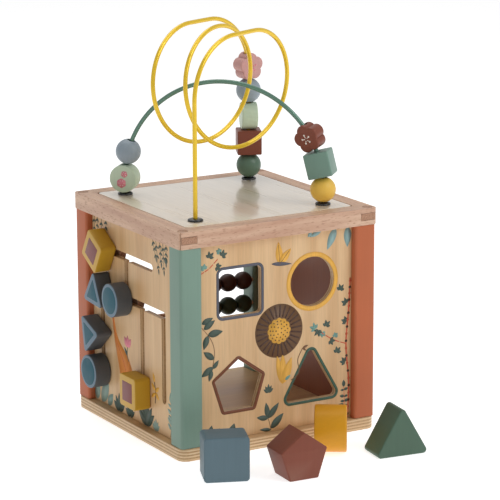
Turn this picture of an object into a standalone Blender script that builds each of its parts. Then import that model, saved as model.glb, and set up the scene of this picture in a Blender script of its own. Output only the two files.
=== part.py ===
"""Wooden activity cube: shape sorter, slide maze, abacus and a bead maze on top, with four blocks.

Metres, +Z up. The origin is the middle of the base's underside. The sorter panel faces -Y, the
slide maze faces -X and the abacus is in the back, at +Y.
"""

import math

import bmesh
import bpy
from mathutils import Matrix, Vector

# Fits
GAP = 0.0003                     # between two pieces that touch
BLOCK_CLEARANCE = 0.0016         # round a block in its own sorter hole
BEAD_CLEARANCE = 0.0018          # between a maze bead's bore and its wire
ABACUS_CLEARANCE = 0.0006        # between an abacus bead's bore and its rod
KNOB_CLEARANCE = 0.0005          # between a knob or its retainer and the maze panel

# Cube
CUBE_WIDTH = 0.2000
CUBE_HEIGHT = 0.2036
BASE_THICKNESS = 0.0112
BASE_CORNER = 0.009
RAIL_HEIGHT = 0.015
RAIL_WIDTH = 0.020
RAIL_LEDGE = 0.005               # shelf on the rail that carries the top panel
RAIL_CORNER = 0.004
TONGUE_HEIGHT = 0.006
TONGUE_WIDTH = 0.0147
TONGUE_INSET = 0.0022            # from the cube's side to the tongue
TOP_PANEL_THICKNESS = 0.008
TOP_PANEL_CORNER = 0.005
DOWEL_RADIUS = 0.0043
DOWEL_INSET = 0.0065             # from the cube's side to the dowel's axis
DOWEL_LENGTH = 0.0133
POST_WIDTH = 0.0215
POST_INSET = 0.001               # from the cube's side to the post's face
POST_ROUND = 0.003
PANEL_THICKNESS = 0.005
PANEL_RECESS = 0.0075            # from the cube's side to a panel's face
GROOVE_DEPTH = 0.006

# Sorter holes: place across and up from the panel's middle, then size
SQUARE_HOLE = (-0.0365, 0.0431)
SQUARE_HOLE_SIDE = 0.0424
ROUND_HOLE = (0.0369, 0.0427)
ROUND_HOLE_RADIUS = 0.0224
PENTAGON_HOLE = (-0.0385, -0.0424)
PENTAGON_HOLE_RADIUS = 0.0252
TRIANGLE_HOLE = (0.0359, -0.0489)
TRIANGLE_HOLE_RADIUS = 0.0332
HOLE_CORNER = 0.0040
PENTAGON_CORNER = 0.0010
BLOCK_LENGTH = 0.0285
BLOCK_EDGE = 0.0010

# Slide maze: slots across (towards the front) and up, from the panel's middle
SLOT_WIDTH = 0.0072
UPPER_SLOT = 0.0589
LOWER_SLOT = 0.0206
SLOT_FOOT = -0.0559
REAR_SLOT_ROOM = 0.0180           # from the back post to the rear slot
MIDDLE_SLOT = 0.0165
FRONT_SLOT = 0.0560
LINK_SLOT = -0.0122
UPPER_SLOT_END = 0.0335
KNOB_THICKNESS = 0.0157
KNOB_PIN_RADIUS = 0.0031
KNOB_EDGE = 0.0010
RETAINER_RADIUS = 0.0138
RETAINER_THICKNESS = 0.0072
KNOB_SQUARE_SIDE = 0.0292
KNOB_ROUND_RADIUS = 0.0153
KNOB_TRIANGLE_RADIUS = 0.0212
KNOB_CORNER = 0.0030
DIAMOND_KNOB = -0.0493           # across, on the upper slot
UPPER_TRIANGLE_KNOB = -0.0485    # across, on the lower slot
UPPER_ROUND_KNOB = -0.0154       # across, on the lower slot
LOWER_TRIANGLE_KNOB = 0.0355     # above the lower round knob, on the rear slot
DIAMOND_TURN = math.radians(-30)
UPPER_TRIANGLE_TURN = math.radians(-4)
LOWER_TRIANGLE_TURN = math.radians(40)

# Abacus
ABACUS_INSET = 0.0035            # from the posts' inner faces to the rods' axis, into the posts
ABACUS_LOWER_Z = 0.0796
ABACUS_PITCH = 0.0226
ABACUS_ROD_RADIUS = 0.0020
ABACUS_ROD_SOCKET = 0.0052
ABACUS_BEAD_RADIUS = 0.0086
ABACUS_BEAD_LENGTH = 0.0162
ABACUS_BEADS = 4
ABACUS_END_ROOM = 0.0018         # between the last bead and the post

# Bead maze
WIRE_RADIUS = 0.0020
WIRE_INSET = 0.0200              # from the top opening's side to each foot
CAP_RADIUS = 0.0068
CAP_HEIGHT = 0.0022
CAP_PROFILE = ((0.45, 1.0), (0.82, 0.8), (1.0, 0.35))   # shares of radius and height, from the top out
ARCH_LEG = 0.0150                # straight foot of the arch
BALL_RADIUS = 0.0115
CUBE_BEAD_SIDE = 0.0226
DISC_BEAD_RADIUS = 0.0126
DISC_BEAD_THICKNESS = 0.0150
FLOWER_RADIUS = 0.0128
FLOWER_WAIST = 0.0103
FLOWER_THICKNESS = 0.0138
FLOWER_LOBES = 5
FLOWER_SWELL = 0.8               # under 1 for round lobes with narrow notches
BEAD_EDGE = 0.0010
BROWN_CUBE_TURN = math.radians(-25)
MINT_DISC_TURN = math.radians(68)
PINK_FLOWER_TURN = math.radians(-13)
BROWN_FLOWER_TURN = math.radians(-20)
LOOP_TURNS = 2
LOOP_WIDTH = 0.0560              # half width of a full turn
LOOP_HEIGHT = 0.0530             # half height of a full turn, and the end bends' radius
LOOP_AZIMUTH = math.radians(19)
LOOP_EASE = 0.2                  # how gently the loops start and stop marching
LOOP_BULGE = 0.06                # how far ahead of the rest of their march the middle loops are
LOOP_DROP = 0.0038               # from the flower's middle down to the start of the bends
FLOWER_INSET = 0.0006            # keeps the flower's bore clear of the bend inside it
FLOWER_TILT_ROOM = 0.0019        # room under a flower that sits tilted on a cube

# Places of the loose blocks on the floor: across, in front of the cube, and turn
SQUARE_BLOCK = (-0.0868, 0.0517, math.radians(-22))
PENTAGON_BLOCK = (-0.0318, 0.0785, math.radians(-3.5))
ROUND_BLOCK = (0.0289, 0.0365, math.radians(57))
TRIANGLE_BLOCK = (0.0764, 0.0675, math.radians(-7))

# Facets
ARC_STEPS = 4
PENTAGON_STEPS = 2
ROUND_STEPS = 28
SLOT_STEPS = 6
KNOB_STEPS = 24
ROD_STEPS = 12
ABACUS_STEPS = 14
BEAD_STEPS = 16
DISC_STEPS = 26
FLOWER_STEPS = 50
ARCH_STEPS = 28
WIRE_STEP = math.radians(7.5)
SHARP_ANGLE = math.radians(35)
BEVEL_ANGLE = math.radians(40)
WELD = 0.00002

# Worked out from the sizes above
HALF = CUBE_WIDTH / 2
RAIL_Z = CUBE_HEIGHT - RAIL_HEIGHT
POST_FACE = HALF - POST_INSET
POST_INNER = POST_FACE - POST_WIDTH
PANEL_HALF = POST_INNER + GROOVE_DEPTH - GAP
PANEL_LOW = BASE_THICKNESS + GAP
PANEL_HIGH = RAIL_Z - GAP
PANEL_MIDDLE = (PANEL_LOW + PANEL_HIGH) / 2
TOP_OPENING = HALF - RAIL_WIDTH + RAIL_LEDGE
TONGUE_LOW = RAIL_Z + (RAIL_HEIGHT - TONGUE_HEIGHT) / 2
BORE = WIRE_RADIUS + BEAD_CLEARANCE
CAP_TOP = CUBE_HEIGHT + GAP + CAP_HEIGHT
BALL_SEAT = math.sqrt(BALL_RADIUS**2 - BORE**2)
REAR_SLOT = REAR_SLOT_ROOM - POST_INNER
WIRE_FOOT = TOP_OPENING - WIRE_INSET
ARCH_RADIUS = WIRE_FOOT * math.sqrt(2)
ARCH_Z = CUBE_HEIGHT + ARCH_LEG

FRONT, LEFT, RIGHT = 0.0, -math.pi / 2, math.pi / 2
CORNERS = {"front_left": (-1, -1), "front_right": (1, -1), "back_left": (-1, 1), "back_right": (1, 1)}


# ---------------------------------------------------------------- scene and materials

def clear_scene():
    for obj in list(bpy.data.objects):
        bpy.data.objects.remove(obj, do_unlink=True)


def new_collection(name):
    made = bpy.data.collections.new(name)
    bpy.context.scene.collection.children.link(made)
    return made


def linear(colour):
    """'#rrggbb' in sRGB, as the linear values that a material takes."""
    values = [int(colour[i : i + 2], 16) / 255 for i in (1, 3, 5)]
    return [v / 12.92 if v <= 0.04045 else ((v + 0.055) / 1.055) ** 2.4 for v in values]


def finish(name, colour, roughness, metallic=0.0):
    """A material, made once for each name."""
    found = bpy.data.materials.get(name)
    if found:
        return found
    made = bpy.data.materials.new(name)
    made.use_nodes = True
    shader = made.node_tree.nodes["Principled BSDF"]
    shader.inputs["Base Color"].default_value = (*linear(colour), 1.0)
    shader.inputs["Roughness"].default_value = roughness
    shader.inputs["Metallic"].default_value = metallic
    made.diffuse_color = (*linear(colour), 1.0)
    return made


def beech():
    return finish("beech", "#c09a80", 0.55)


def plywood():
    return finish("plywood", "#d9b78a", 0.55)


def sage_paint():
    return finish("sage_paint", "#7f9a8c", 0.5)


def terracotta_paint():
    return finish("terracotta_paint", "#bb6d4c", 0.5)


def dark_wood():
    return finish("dark_wood", "#5a3d2c", 0.6)


def mint_paint():
    return finish("mint_paint", "#c2d3bb", 0.45)


def grey_paint():
    return finish("grey_paint", "#8e9aa3", 0.45)


def yellow_paint():
    return finish("yellow_paint", "#d9a441", 0.45)


def green_paint():
    return finish("green_paint", "#4d6a5a", 0.45)


def brown_paint():
    return finish("brown_paint", "#83503f", 0.45)


def pink_paint():
    return finish("pink_paint", "#c99a97", 0.45)


def slate_paint():
    return finish("slate_paint", "#5f7179", 0.5)


def knob_paint():
    return finish("knob_paint", "#5b5a58", 0.5)


def ochre_paint():
    return finish("ochre_paint", "#c9a24b", 0.5)


def yellow_enamel():
    return finish("yellow_enamel", "#e6c02a", 0.35)


def green_enamel():
    return finish("green_enamel", "#5f8272", 0.35)


def black_plastic():
    return finish("black_plastic", "#15151a", 0.35)


# ---------------------------------------------------------------- modelling helpers

def add(name, mesh, material, matrix=None, parent=None):
    """A named part that shows mesh at matrix, in world space or under its parent."""
    if mesh.users:
        mesh = mesh.copy()
    obj = bpy.data.objects.new(name, mesh)
    mesh.materials.clear()
    mesh.materials.append(material)
    mesh.shade_smooth()
    mesh.set_sharp_from_angle(angle=SHARP_ANGLE)
    PARTS.objects.link(obj)
    obj.parent = parent
    obj.matrix_local = matrix or Matrix()
    return obj


def add_cutter(name, mesh, matrix=None):
    obj = bpy.data.objects.new(name, mesh)
    obj.hide_render = True
    obj.display_type = "WIRE"
    CUTTERS.objects.link(obj)
    obj.matrix_local = matrix or Matrix()
    return obj


def boolean(obj, other, operation="DIFFERENCE"):
    modifier = obj.modifiers.new(f"{operation.title()} {other.name}", "BOOLEAN")
    modifier.operation = operation
    modifier.object = other


def bevel(obj, width, segments=2):
    """Rounds the sharp rims of obj, and leaves the fine facets of its round corners."""
    modifier = obj.modifiers.new("Edge", "BEVEL")
    modifier.width = width
    modifier.segments = segments
    modifier.limit_method = "ANGLE"
    modifier.angle_limit = BEVEL_ANGLE


def box_mesh(low, high):
    low, high = Vector(low), Vector(high)
    size = high - low
    form = bmesh.new()
    place = Matrix.Translation((low + high) / 2) @ Matrix.Diagonal((*size, 1))
    bmesh.ops.create_cube(form, size=1.0, matrix=place)
    mesh = bpy.data.meshes.new("box")
    form.to_mesh(mesh)
    form.free()
    return mesh


def rod_mesh(radius, low, high, steps=BEAD_STEPS):
    """A cylinder on the Z axis from low to high."""
    form = bmesh.new()
    place = Matrix.Translation((0, 0, (low + high) / 2))
    bmesh.ops.create_cone(
        form, cap_ends=True, segments=steps, radius1=radius, radius2=radius, depth=high - low, matrix=place
    )
    mesh = bpy.data.meshes.new("rod")
    form.to_mesh(mesh)
    form.free()
    return mesh


def mesh_of_curve(curve):
    """The closed mesh of a curve with caps, which are loose until they are welded."""
    guide = bpy.data.objects.new("guide", curve)
    bpy.context.scene.collection.objects.link(guide)
    bpy.context.view_layer.update()
    mesh = bpy.data.meshes.new_from_object(guide.evaluated_get(bpy.context.evaluated_depsgraph_get()))
    bpy.data.objects.remove(guide)
    form = bmesh.new()
    form.from_mesh(mesh)
    bmesh.ops.remove_doubles(form, verts=form.verts, dist=WELD)
    bmesh.ops.recalc_face_normals(form, faces=form.faces)
    form.to_mesh(mesh)
    form.free()
    return mesh


def plate_mesh(loops, low, high):
    """A flat outline with its holes, in XY, extruded from low to high along Z."""
    curve = bpy.data.curves.new("outline", "CURVE")
    curve.dimensions = "2D"
    curve.fill_mode = "BOTH"
    curve.extrude = (high - low) / 2
    for loop in loops:
        spline = curve.splines.new("POLY")
        spline.points.add(len(loop) - 1)
        for point, (x, y) in zip(spline.points, loop):
            point.co = (x, y, 0, 1)
        spline.use_cyclic_u = True
    mesh = mesh_of_curve(curve)
    mesh.transform(Matrix.Translation((0, 0, (low + high) / 2)))
    return mesh


def tube_mesh(points, radius):
    curve = bpy.data.curves.new("path", "CURVE")
    curve.dimensions = "3D"
    curve.bevel_depth = radius
    curve.bevel_resolution = 2
    curve.use_fill_caps = True
    spline = curve.splines.new("POLY")
    spline.points.add(len(points) - 1)
    for point, place in zip(spline.points, points):
        point.co = (*place, 1)
    return mesh_of_curve(curve)


def turned(obj_name, profile, material, matrix, parent=None, steps=BEAD_STEPS):
    """A closed profile of (radius, height), outer side first and downwards, turned about Z."""
    mesh = bpy.data.meshes.new(obj_name)
    count = len(profile)
    edges = [(i, (i + 1) % count) for i in range(count)]
    mesh.from_pydata([(radius, 0, height) for radius, height in profile], edges, [])
    obj = add(obj_name, mesh, material, matrix, parent)
    screw = obj.modifiers.new("Turn", "SCREW")
    screw.steps = steps
    screw.render_steps = steps
    screw.use_merge_vertices = True
    screw.merge_threshold = WELD
    screw.use_smooth_shade = True
    return obj


def arc(centre, radius, start, end, steps):
    """Points on an arc, both ends among them."""
    angles = [start + (end - start) * i / steps for i in range(steps + 1)]
    return [(centre[0] + radius * math.cos(a), centre[1] + radius * math.sin(a)) for a in angles]


def circle(centre, radius, steps=ROUND_STEPS):
    return arc(centre, radius, 0, 2 * math.pi, steps)[:-1]


def polygon(centre, radius, sides, first):
    angles = [first + 2 * math.pi * i / sides for i in range(sides)]
    return [(centre[0] + radius * math.cos(a), centre[1] + radius * math.sin(a)) for a in angles]


def rectangle(low, high):
    return [(low[0], low[1]), (high[0], low[1]), (high[0], high[1]), (low[0], high[1])]


def rounded(corners, radius, steps=ARC_STEPS):
    """A convex outline, run anticlockwise, with each corner turned into an arc."""
    outline = []
    for i, corner in enumerate(corners):
        here = Vector(corner)
        before = (Vector(corners[i - 1]) - here).normalized()
        after = (Vector(corners[(i + 1) % len(corners)]) - here).normalized()
        half = before.angle(after) / 2
        centre = here + (before + after).normalized() * (radius / math.sin(half))
        start = math.atan2(after.y, after.x) - math.pi / 2 - (math.pi - 2 * half)
        outline += arc(centre, radius, start, start + math.pi - 2 * half, steps)
    return outline


def on_side(turn, distance):
    """The frame of one side of the cube: X across, Y up and Z outwards, as seen from outside."""
    return (
        Matrix.Rotation(turn, 4, "Z")
        @ Matrix.Translation((0, -distance, 0))
        @ Matrix.Rotation(math.pi / 2, 4, "X")
    )


# ---------------------------------------------------------------- cube

def make_base():
    outline = rounded(rectangle((-HALF, -HALF), (HALF, HALF)), BASE_CORNER)
    add("base_board", plate_mesh([outline], 0, BASE_THICKNESS), plywood())


def post_outline(at_front):
    """A post's section in the quarter where X and Y are positive.

    Every post has a groove for the panel at its side, and one at the front also for the sorter panel.
    """
    low, high, deep = POST_INNER, POST_FACE, POST_INNER + GROOVE_DEPTH
    face = HALF - PANEL_RECESS + GAP
    behind = face - PANEL_THICKNESS - 2 * GAP
    side_groove = [(behind, low), (behind, deep), (face, deep), (face, low)]
    front_groove = [(y, x) for x, y in reversed(side_groove)]
    outline = rounded(rectangle((low, low), (high, high)), POST_ROUND)
    outline[ARC_STEPS + 1:ARC_STEPS + 1] = side_groove
    return outline + front_groove if at_front else outline


def abacus_rod_frame(level):
    """Z along the rod of this level, 0 the lower one, from the middle of the cube."""
    height = ABACUS_LOWER_Z + level * ABACUS_PITCH
    depth = POST_INNER + ABACUS_INSET
    return Matrix.Translation((0, depth, height)) @ Matrix.Rotation(math.pi / 2, 4, "Y")


def make_posts():
    paints = {
        "front_left": sage_paint, "front_right": terracotta_paint,
        "back_left": terracotta_paint, "back_right": sage_paint,
    }
    reach = POST_INNER + ABACUS_ROD_SOCKET + GAP
    sockets = []
    for level, name in enumerate(("lower", "upper")):
        mesh = rod_mesh(ABACUS_ROD_RADIUS + GAP, -reach, reach)
        sockets.append(add_cutter(f"cut_{name}_sockets", mesh, abacus_rod_frame(level)))
    for corner, (x, y) in CORNERS.items():
        outline = [(x * a, y * b) for a, b in post_outline(y < 0)]
        post = add(f"post_{corner}", plate_mesh([outline], PANEL_LOW, PANEL_HIGH), paints[corner]())
        if y > 0:
            for socket in sockets:
                boolean(post, socket)


def tongue_box(x, y, loose=0.0):
    """The tongue through the rail on the y side, at the corner of signs x and y."""
    near, far = sorted((x * (HALF - TONGUE_INSET + loose), x * (HALF - TONGUE_INSET - TONGUE_WIDTH - loose)))
    deep, out = sorted((y * (HALF - RAIL_WIDTH - GAP), y * (HALF + RAIL_WIDTH)))
    return box_mesh((near, deep, TONGUE_LOW - loose), (far, out, TONGUE_LOW + TONGUE_HEIGHT + loose))


def make_rails():
    """Four mitred beech rails, rebated for the top panel. The side rails' tongues pass through the others."""
    recess = add_cutter("cut_top_opening", plate_mesh(
        [rounded(rectangle((-TOP_OPENING, -TOP_OPENING), (TOP_OPENING, TOP_OPENING)), TOP_PANEL_CORNER)],
        CUBE_HEIGHT - TOP_PANEL_THICKNESS - GAP, CUBE_HEIGHT + RAIL_HEIGHT,
    ))
    outside = add_cutter("cut_frame_outline", plate_mesh(
        [rounded(rectangle((-HALF, -HALF), (HALF, HALF)), RAIL_CORNER)],
        RAIL_Z - RAIL_HEIGHT, CUBE_HEIGHT + RAIL_HEIGHT,
    ))
    inner = HALF - RAIL_WIDTH
    mitred = {
        "front": [(GAP - HALF, -HALF), (HALF - GAP, -HALF), (inner - GAP, -inner), (GAP - inner, -inner)],
        "left": [(-HALF, HALF), (-HALF, -HALF), (-inner, -inner), (-inner, inner)],
    }
    mitred["back"] = [(-x, -y) for x, y in mitred["front"]]
    mitred["right"] = [(-x, -y) for x, y in mitred["left"]]
    rails = {
        side: add(f"top_rail_{side}", plate_mesh([outline], RAIL_Z, CUBE_HEIGHT), beech())
        for side, outline in mitred.items()
    }
    for corner, (x, y) in CORNERS.items():
        along, beside = corner.split("_")
        mesh = rod_mesh(DOWEL_RADIUS + GAP, CUBE_HEIGHT - DOWEL_LENGTH - GAP, CUBE_HEIGHT + RAIL_HEIGHT)
        place = Matrix.Translation((x * (HALF - DOWEL_INSET), y * (HALF - DOWEL_INSET), 0))
        hole = add_cutter(f"cut_dowel_{corner}", mesh, place)
        boolean(rails[along], add_cutter(f"cut_slot_{corner}", tongue_box(x, y, GAP)))
        boolean(rails[beside], add_cutter(f"join_tongue_{corner}", tongue_box(x, y)), "UNION")
        boolean(rails[along], hole)
        boolean(rails[beside], hole)
    for rail in rails.values():
        boolean(rail, outside, "INTERSECT")
        boolean(rail, recess)


def make_dowels():
    mesh = rod_mesh(DOWEL_RADIUS, CUBE_HEIGHT - DOWEL_LENGTH, CUBE_HEIGHT)
    for corner, (x, y) in CORNERS.items():
        place = Matrix.Translation((x * (HALF - DOWEL_INSET), y * (HALF - DOWEL_INSET), 0))
        add(f"corner_dowel_{corner}", mesh, dark_wood(), place)


def make_top_panel():
    half = TOP_OPENING - GAP
    outline = rounded(rectangle((-half, -half), (half, half)), TOP_PANEL_CORNER)
    holes = [
        circle((x * WIRE_FOOT, y * WIRE_FOOT), WIRE_RADIUS + GAP, BEAD_STEPS) for x, y in CORNERS.values()
    ]
    mesh = plate_mesh([outline, *holes], CUBE_HEIGHT - TOP_PANEL_THICKNESS, CUBE_HEIGHT)
    add("top_panel", mesh, plywood())


def in_panel(place):
    """A place across and up from a panel's middle, in the panel's own frame."""
    return (place[0], PANEL_MIDDLE + place[1])


def sorter_holes():
    """The four openings of the sorter panel, as outlines in the panel's own frame."""
    half = SQUARE_HOLE_SIDE / 2
    x, z = in_panel(SQUARE_HOLE)
    pentagon = polygon(in_panel(PENTAGON_HOLE), PENTAGON_HOLE_RADIUS, 5, math.pi / 2)
    triangle = polygon(in_panel(TRIANGLE_HOLE), TRIANGLE_HOLE_RADIUS, 3, math.pi / 2)
    return [
        rounded(rectangle((x - half, z - half), (x + half, z + half)), HOLE_CORNER),
        circle(in_panel(ROUND_HOLE), ROUND_HOLE_RADIUS),
        rounded(pentagon, PENTAGON_CORNER, PENTAGON_STEPS),
        rounded(triangle, HOLE_CORNER),
    ]


def side_panel(name, turn, holes):
    outline = rectangle((-PANEL_HALF, PANEL_LOW), (PANEL_HALF, PANEL_HIGH))
    mesh = plate_mesh([outline, *holes], -PANEL_THICKNESS, 0)
    return add(name, mesh, plywood(), on_side(turn, HALF - PANEL_RECESS))


def slot_cutter(name, start, end):
    """A straight slot with round ends between two centres, through the slide maze's panel."""
    start, end = in_panel(start), in_panel(end)
    radius = SLOT_WIDTH / 2
    along = math.atan2(end[1] - start[1], end[0] - start[0])
    outline = arc(start, radius, along + math.pi / 2, along + math.pi * 1.5, SLOT_STEPS)
    outline += arc(end, radius, along - math.pi / 2, along + math.pi / 2, SLOT_STEPS)
    mesh = plate_mesh([outline], -2 * PANEL_THICKNESS, PANEL_THICKNESS)
    return add_cutter(name, mesh, on_side(LEFT, HALF - PANEL_RECESS))


def make_side_panels():
    side_panel("sorter_panel", FRONT, sorter_holes())
    maze = side_panel("maze_panel", LEFT, [])
    slots = {
        "upper": ((REAR_SLOT, UPPER_SLOT), (UPPER_SLOT_END, UPPER_SLOT)),
        "link": ((LINK_SLOT, UPPER_SLOT), (LINK_SLOT, LOWER_SLOT)),
        "lower": ((REAR_SLOT, LOWER_SLOT), (FRONT_SLOT, LOWER_SLOT)),
        "rear": ((REAR_SLOT, LOWER_SLOT), (REAR_SLOT, SLOT_FOOT)),
        "middle": ((MIDDLE_SLOT, LOWER_SLOT), (MIDDLE_SLOT, SLOT_FOOT)),
        "front": ((FRONT_SLOT, LOWER_SLOT), (FRONT_SLOT, SLOT_FOOT)),
    }
    for name, (start, end) in slots.items():
        boolean(maze, slot_cutter(f"cut_slot_{name}", start, end))
    side_panel("right_panel", RIGHT, [])


# ---------------------------------------------------------------- slide maze knobs

def make_knob(name, outline, place, turn, material):
    """A knob with its pin through a slot, and the retainer on the pin behind the panel."""
    frame = on_side(LEFT, HALF - PANEL_RECESS) @ Matrix.Translation((*in_panel(place), 0))
    back = -PANEL_THICKNESS - KNOB_CLEARANCE
    body = plate_mesh([outline], KNOB_CLEARANCE, KNOB_CLEARANCE + KNOB_THICKNESS)
    knob = add(f"{name}_knob", body, material, frame @ Matrix.Rotation(turn, 4, "Z"))
    bevel(knob, KNOB_EDGE, 1)
    pin = rod_mesh(KNOB_PIN_RADIUS, back - RETAINER_THICKNESS, KNOB_CLEARANCE + KNOB_THICKNESS / 2)
    boolean(knob, add_cutter(f"join_{name}_pin", pin, frame), "UNION")
    bore = KNOB_PIN_RADIUS + GAP
    washer = [
        (RETAINER_RADIUS, back), (RETAINER_RADIUS, back - RETAINER_THICKNESS),
        (bore, back - RETAINER_THICKNESS), (bore, back),
    ]
    turned(f"{name}_retainer", washer, beech(), frame)


def make_knobs():
    half = KNOB_SQUARE_SIDE / 2
    square = rounded(rectangle((-half, -half), (half, half)), KNOB_CORNER)
    triangle = rounded(polygon((0, 0), KNOB_TRIANGLE_RADIUS, 3, math.pi / 2), KNOB_CORNER)
    disc = circle((0, 0), KNOB_ROUND_RADIUS, KNOB_STEPS)
    above_foot = SLOT_FOOT + LOWER_TRIANGLE_KNOB
    make_knob("diamond", square, (DIAMOND_KNOB, UPPER_SLOT), DIAMOND_TURN, ochre_paint())
    beside_link = (UPPER_TRIANGLE_KNOB, LOWER_SLOT)
    make_knob("upper_triangle", triangle, beside_link, UPPER_TRIANGLE_TURN, knob_paint())
    make_knob("upper_round", disc, (UPPER_ROUND_KNOB, LOWER_SLOT), 0, knob_paint())
    make_knob("lower_triangle", triangle, (REAR_SLOT, above_foot), LOWER_TRIANGLE_TURN, knob_paint())
    make_knob("lower_round", disc, (REAR_SLOT, SLOT_FOOT), 0, knob_paint())
    make_knob("square", square, (MIDDLE_SLOT, SLOT_FOOT), 0, ochre_paint())


# ---------------------------------------------------------------- abacus

def make_abacus():
    bore = ABACUS_ROD_RADIUS + ABACUS_CLEARANCE
    reach = POST_INNER + ABACUS_ROD_SOCKET
    half = ABACUS_BEAD_LENGTH / 2
    shoulder = math.acos(half / (ABACUS_BEAD_RADIUS + BEAD_EDGE / 2))
    flank = arc((0, 0), ABACUS_BEAD_RADIUS, math.pi / 2 - shoulder, shoulder - math.pi / 2, ARC_STEPS * 2)
    profile = [(bore, half), *flank, (bore, -half)]
    paints = (green_paint, brown_paint)
    for level, name in enumerate(("lower", "upper")):
        along = abacus_rod_frame(level)
        add(f"abacus_rod_{name}", rod_mesh(ABACUS_ROD_RADIUS, -reach, reach, ROD_STEPS), beech(), along)
        for i in range(ABACUS_BEADS):
            x = POST_INNER - ABACUS_END_ROOM - half - i * (ABACUS_BEAD_LENGTH + GAP)
            place = along @ Matrix.Translation((0, 0, x))
            turned(f"abacus_bead_{name}_{i + 1}", profile, paints[level](), place, steps=ABACUS_STEPS)


# ---------------------------------------------------------------- bead shapes, each with its bore on Z

def ball_profile():
    mouth = math.atan2(BALL_SEAT, BORE)
    return arc((0, 0), BALL_RADIUS, mouth, -mouth, 10)


def bore_through(bead, matrix, parent):
    reach = 2 * FLOWER_RADIUS
    cutter = add_cutter(f"cut_{bead.name}", rod_mesh(BORE, -reach, reach), matrix)
    cutter.parent = parent
    boolean(bead, cutter)


def add_ball(name, material, matrix, parent=None):
    turned(name, ball_profile(), material, matrix, parent)


def add_cube(name, material, matrix, parent=None):
    half = CUBE_BEAD_SIDE / 2
    bead = add(name, box_mesh((-half,) * 3, (half,) * 3), material, matrix, parent)
    bevel(bead, BEAD_EDGE)
    bore_through(bead, matrix, parent)


def add_flat(name, outline, thickness, material, matrix, parent=None):
    """A flat bead whose outline stands upright, with its bore through the outline's own plane."""
    mesh = plate_mesh([outline], -thickness / 2, thickness / 2)
    mesh.transform(Matrix.Rotation(math.pi / 2, 4, "X"))
    bead = add(name, mesh, material, matrix, parent)
    bevel(bead, BEAD_EDGE, 1)
    bore_through(bead, matrix, parent)


def disc_outline():
    return circle((0, 0), DISC_BEAD_RADIUS, DISC_STEPS)


def flower_outline():
    """Lobes, one of them up: the radius swings between the waist and the petals' tips."""
    outline = []
    for i in range(FLOWER_STEPS):
        angle = 2 * math.pi * i / FLOWER_STEPS
        swell = abs(math.cos(FLOWER_LOBES / 2 * (angle - math.pi / 2))) ** FLOWER_SWELL
        radius = FLOWER_WAIST + (FLOWER_RADIUS - FLOWER_WAIST) * swell
        outline.append((radius * math.cos(angle), radius * math.sin(angle)))
    return outline


def flower_seat():
    """How far a flower reaches down over the mouth that it sits on."""
    return -min(y for x, y in flower_outline() if abs(x) < BORE + BEAD_EDGE)


# ---------------------------------------------------------------- bead maze

def loop_stack():
    """The height of each bead on the looped wire's back leg, from the cap up."""
    half_cube = CUBE_BEAD_SIDE / 2
    seats = [("ball", BALL_SEAT), ("cube", half_cube), ("disc", DISC_BEAD_RADIUS), ("grey", BALL_SEAT),
             ("flower", flower_seat())]
    heights, top = {}, CAP_TOP
    for name, seat in seats:
        heights[name] = top + GAP + seat
        top = heights[name] + seat
    return heights


def bend_height():
    """The loops' bends start a little under the flower's middle."""
    return loop_stack()["flower"] - LOOP_DROP


def loop_axes():
    """The direction across the loops and the direction that they march in, both level."""
    across = Vector((math.cos(LOOP_AZIMUTH), math.sin(LOOP_AZIMUTH), 0))
    return across, Vector((-across.y, across.x, 0))


def loop_path():
    """Up the front leg, over a bend, round the loops and down the back leg.

    Each end is a quarter circle in an upright plane and a level run. The loops between them are
    LOOP_TURNS turns of an ellipse that marches from one leg's plane to the other's, easing in
    and out so that the wire has no kink.
    """
    across, march = loop_axes()
    foot = Vector((WIRE_FOOT, WIRE_FOOT, 0))
    reach, shift = foot.dot(across), foot.dot(march)
    low = CUBE_HEIGHT - TOP_PANEL_THICKNESS
    centre = bend_height()
    run = reach - LOOP_HEIGHT
    flat = [(-reach, low, 0.0), (-reach, (low + centre) / 2, 0.0)]
    bend_steps = round(math.pi / 2 / WIRE_STEP)
    for x, z in arc((-run, centre), LOOP_HEIGHT, math.pi, math.pi / 2, bend_steps):
        flat.append((x, z, 0.0))
    turn_steps = round(2 * math.pi * LOOP_TURNS / WIRE_STEP)
    length = run
    flat.append((-run / 2, centre + LOOP_HEIGHT, run / 2))
    for i in range(turn_steps + 1):
        angle = 2 * math.pi * LOOP_TURNS * i / turn_steps
        x = LOOP_WIDTH * math.sin(angle)
        flat.append((x, centre + LOOP_HEIGHT * math.cos(angle), length))
        if i < turn_steps:
            length += LOOP_WIDTH * WIRE_STEP
    whole = length + run
    flat.append((run / 2, centre + LOOP_HEIGHT, whole - run / 2))
    for x, z in arc((run, centre), LOOP_HEIGHT, math.pi / 2, 0, bend_steps):
        flat.append((x, z, whole))
    flat += [(reach, (low + centre) / 2, whole), (reach, low, whole)]
    points = []
    for x, z, travelled in flat:
        share = travelled / whole
        eased = share - LOOP_EASE * math.sin(2 * math.pi * share) / (2 * math.pi)
        eased += LOOP_BULGE * math.sin(math.pi * share)
        points.append(across * x + march * (shift * (2 * eased - 1)) + Vector((0, 0, z)))
    return points


def arch_frame():
    """X from the left back foot to the right front one, Z up, origin in the arch's centre."""
    return Matrix.Translation((0, 0, ARCH_Z)) @ Matrix.Rotation(-math.pi / 4, 4, "Z")


def arch_path():
    low = CUBE_HEIGHT - TOP_PANEL_THICKNESS - ARCH_Z
    points = [(ARCH_RADIUS, low)] + arc((0, 0), ARCH_RADIUS, 0, math.pi, ARCH_STEPS) + [(-ARCH_RADIUS, low)]
    return [arch_frame() @ Vector((x, 0, z)) for x, z in points]


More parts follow.
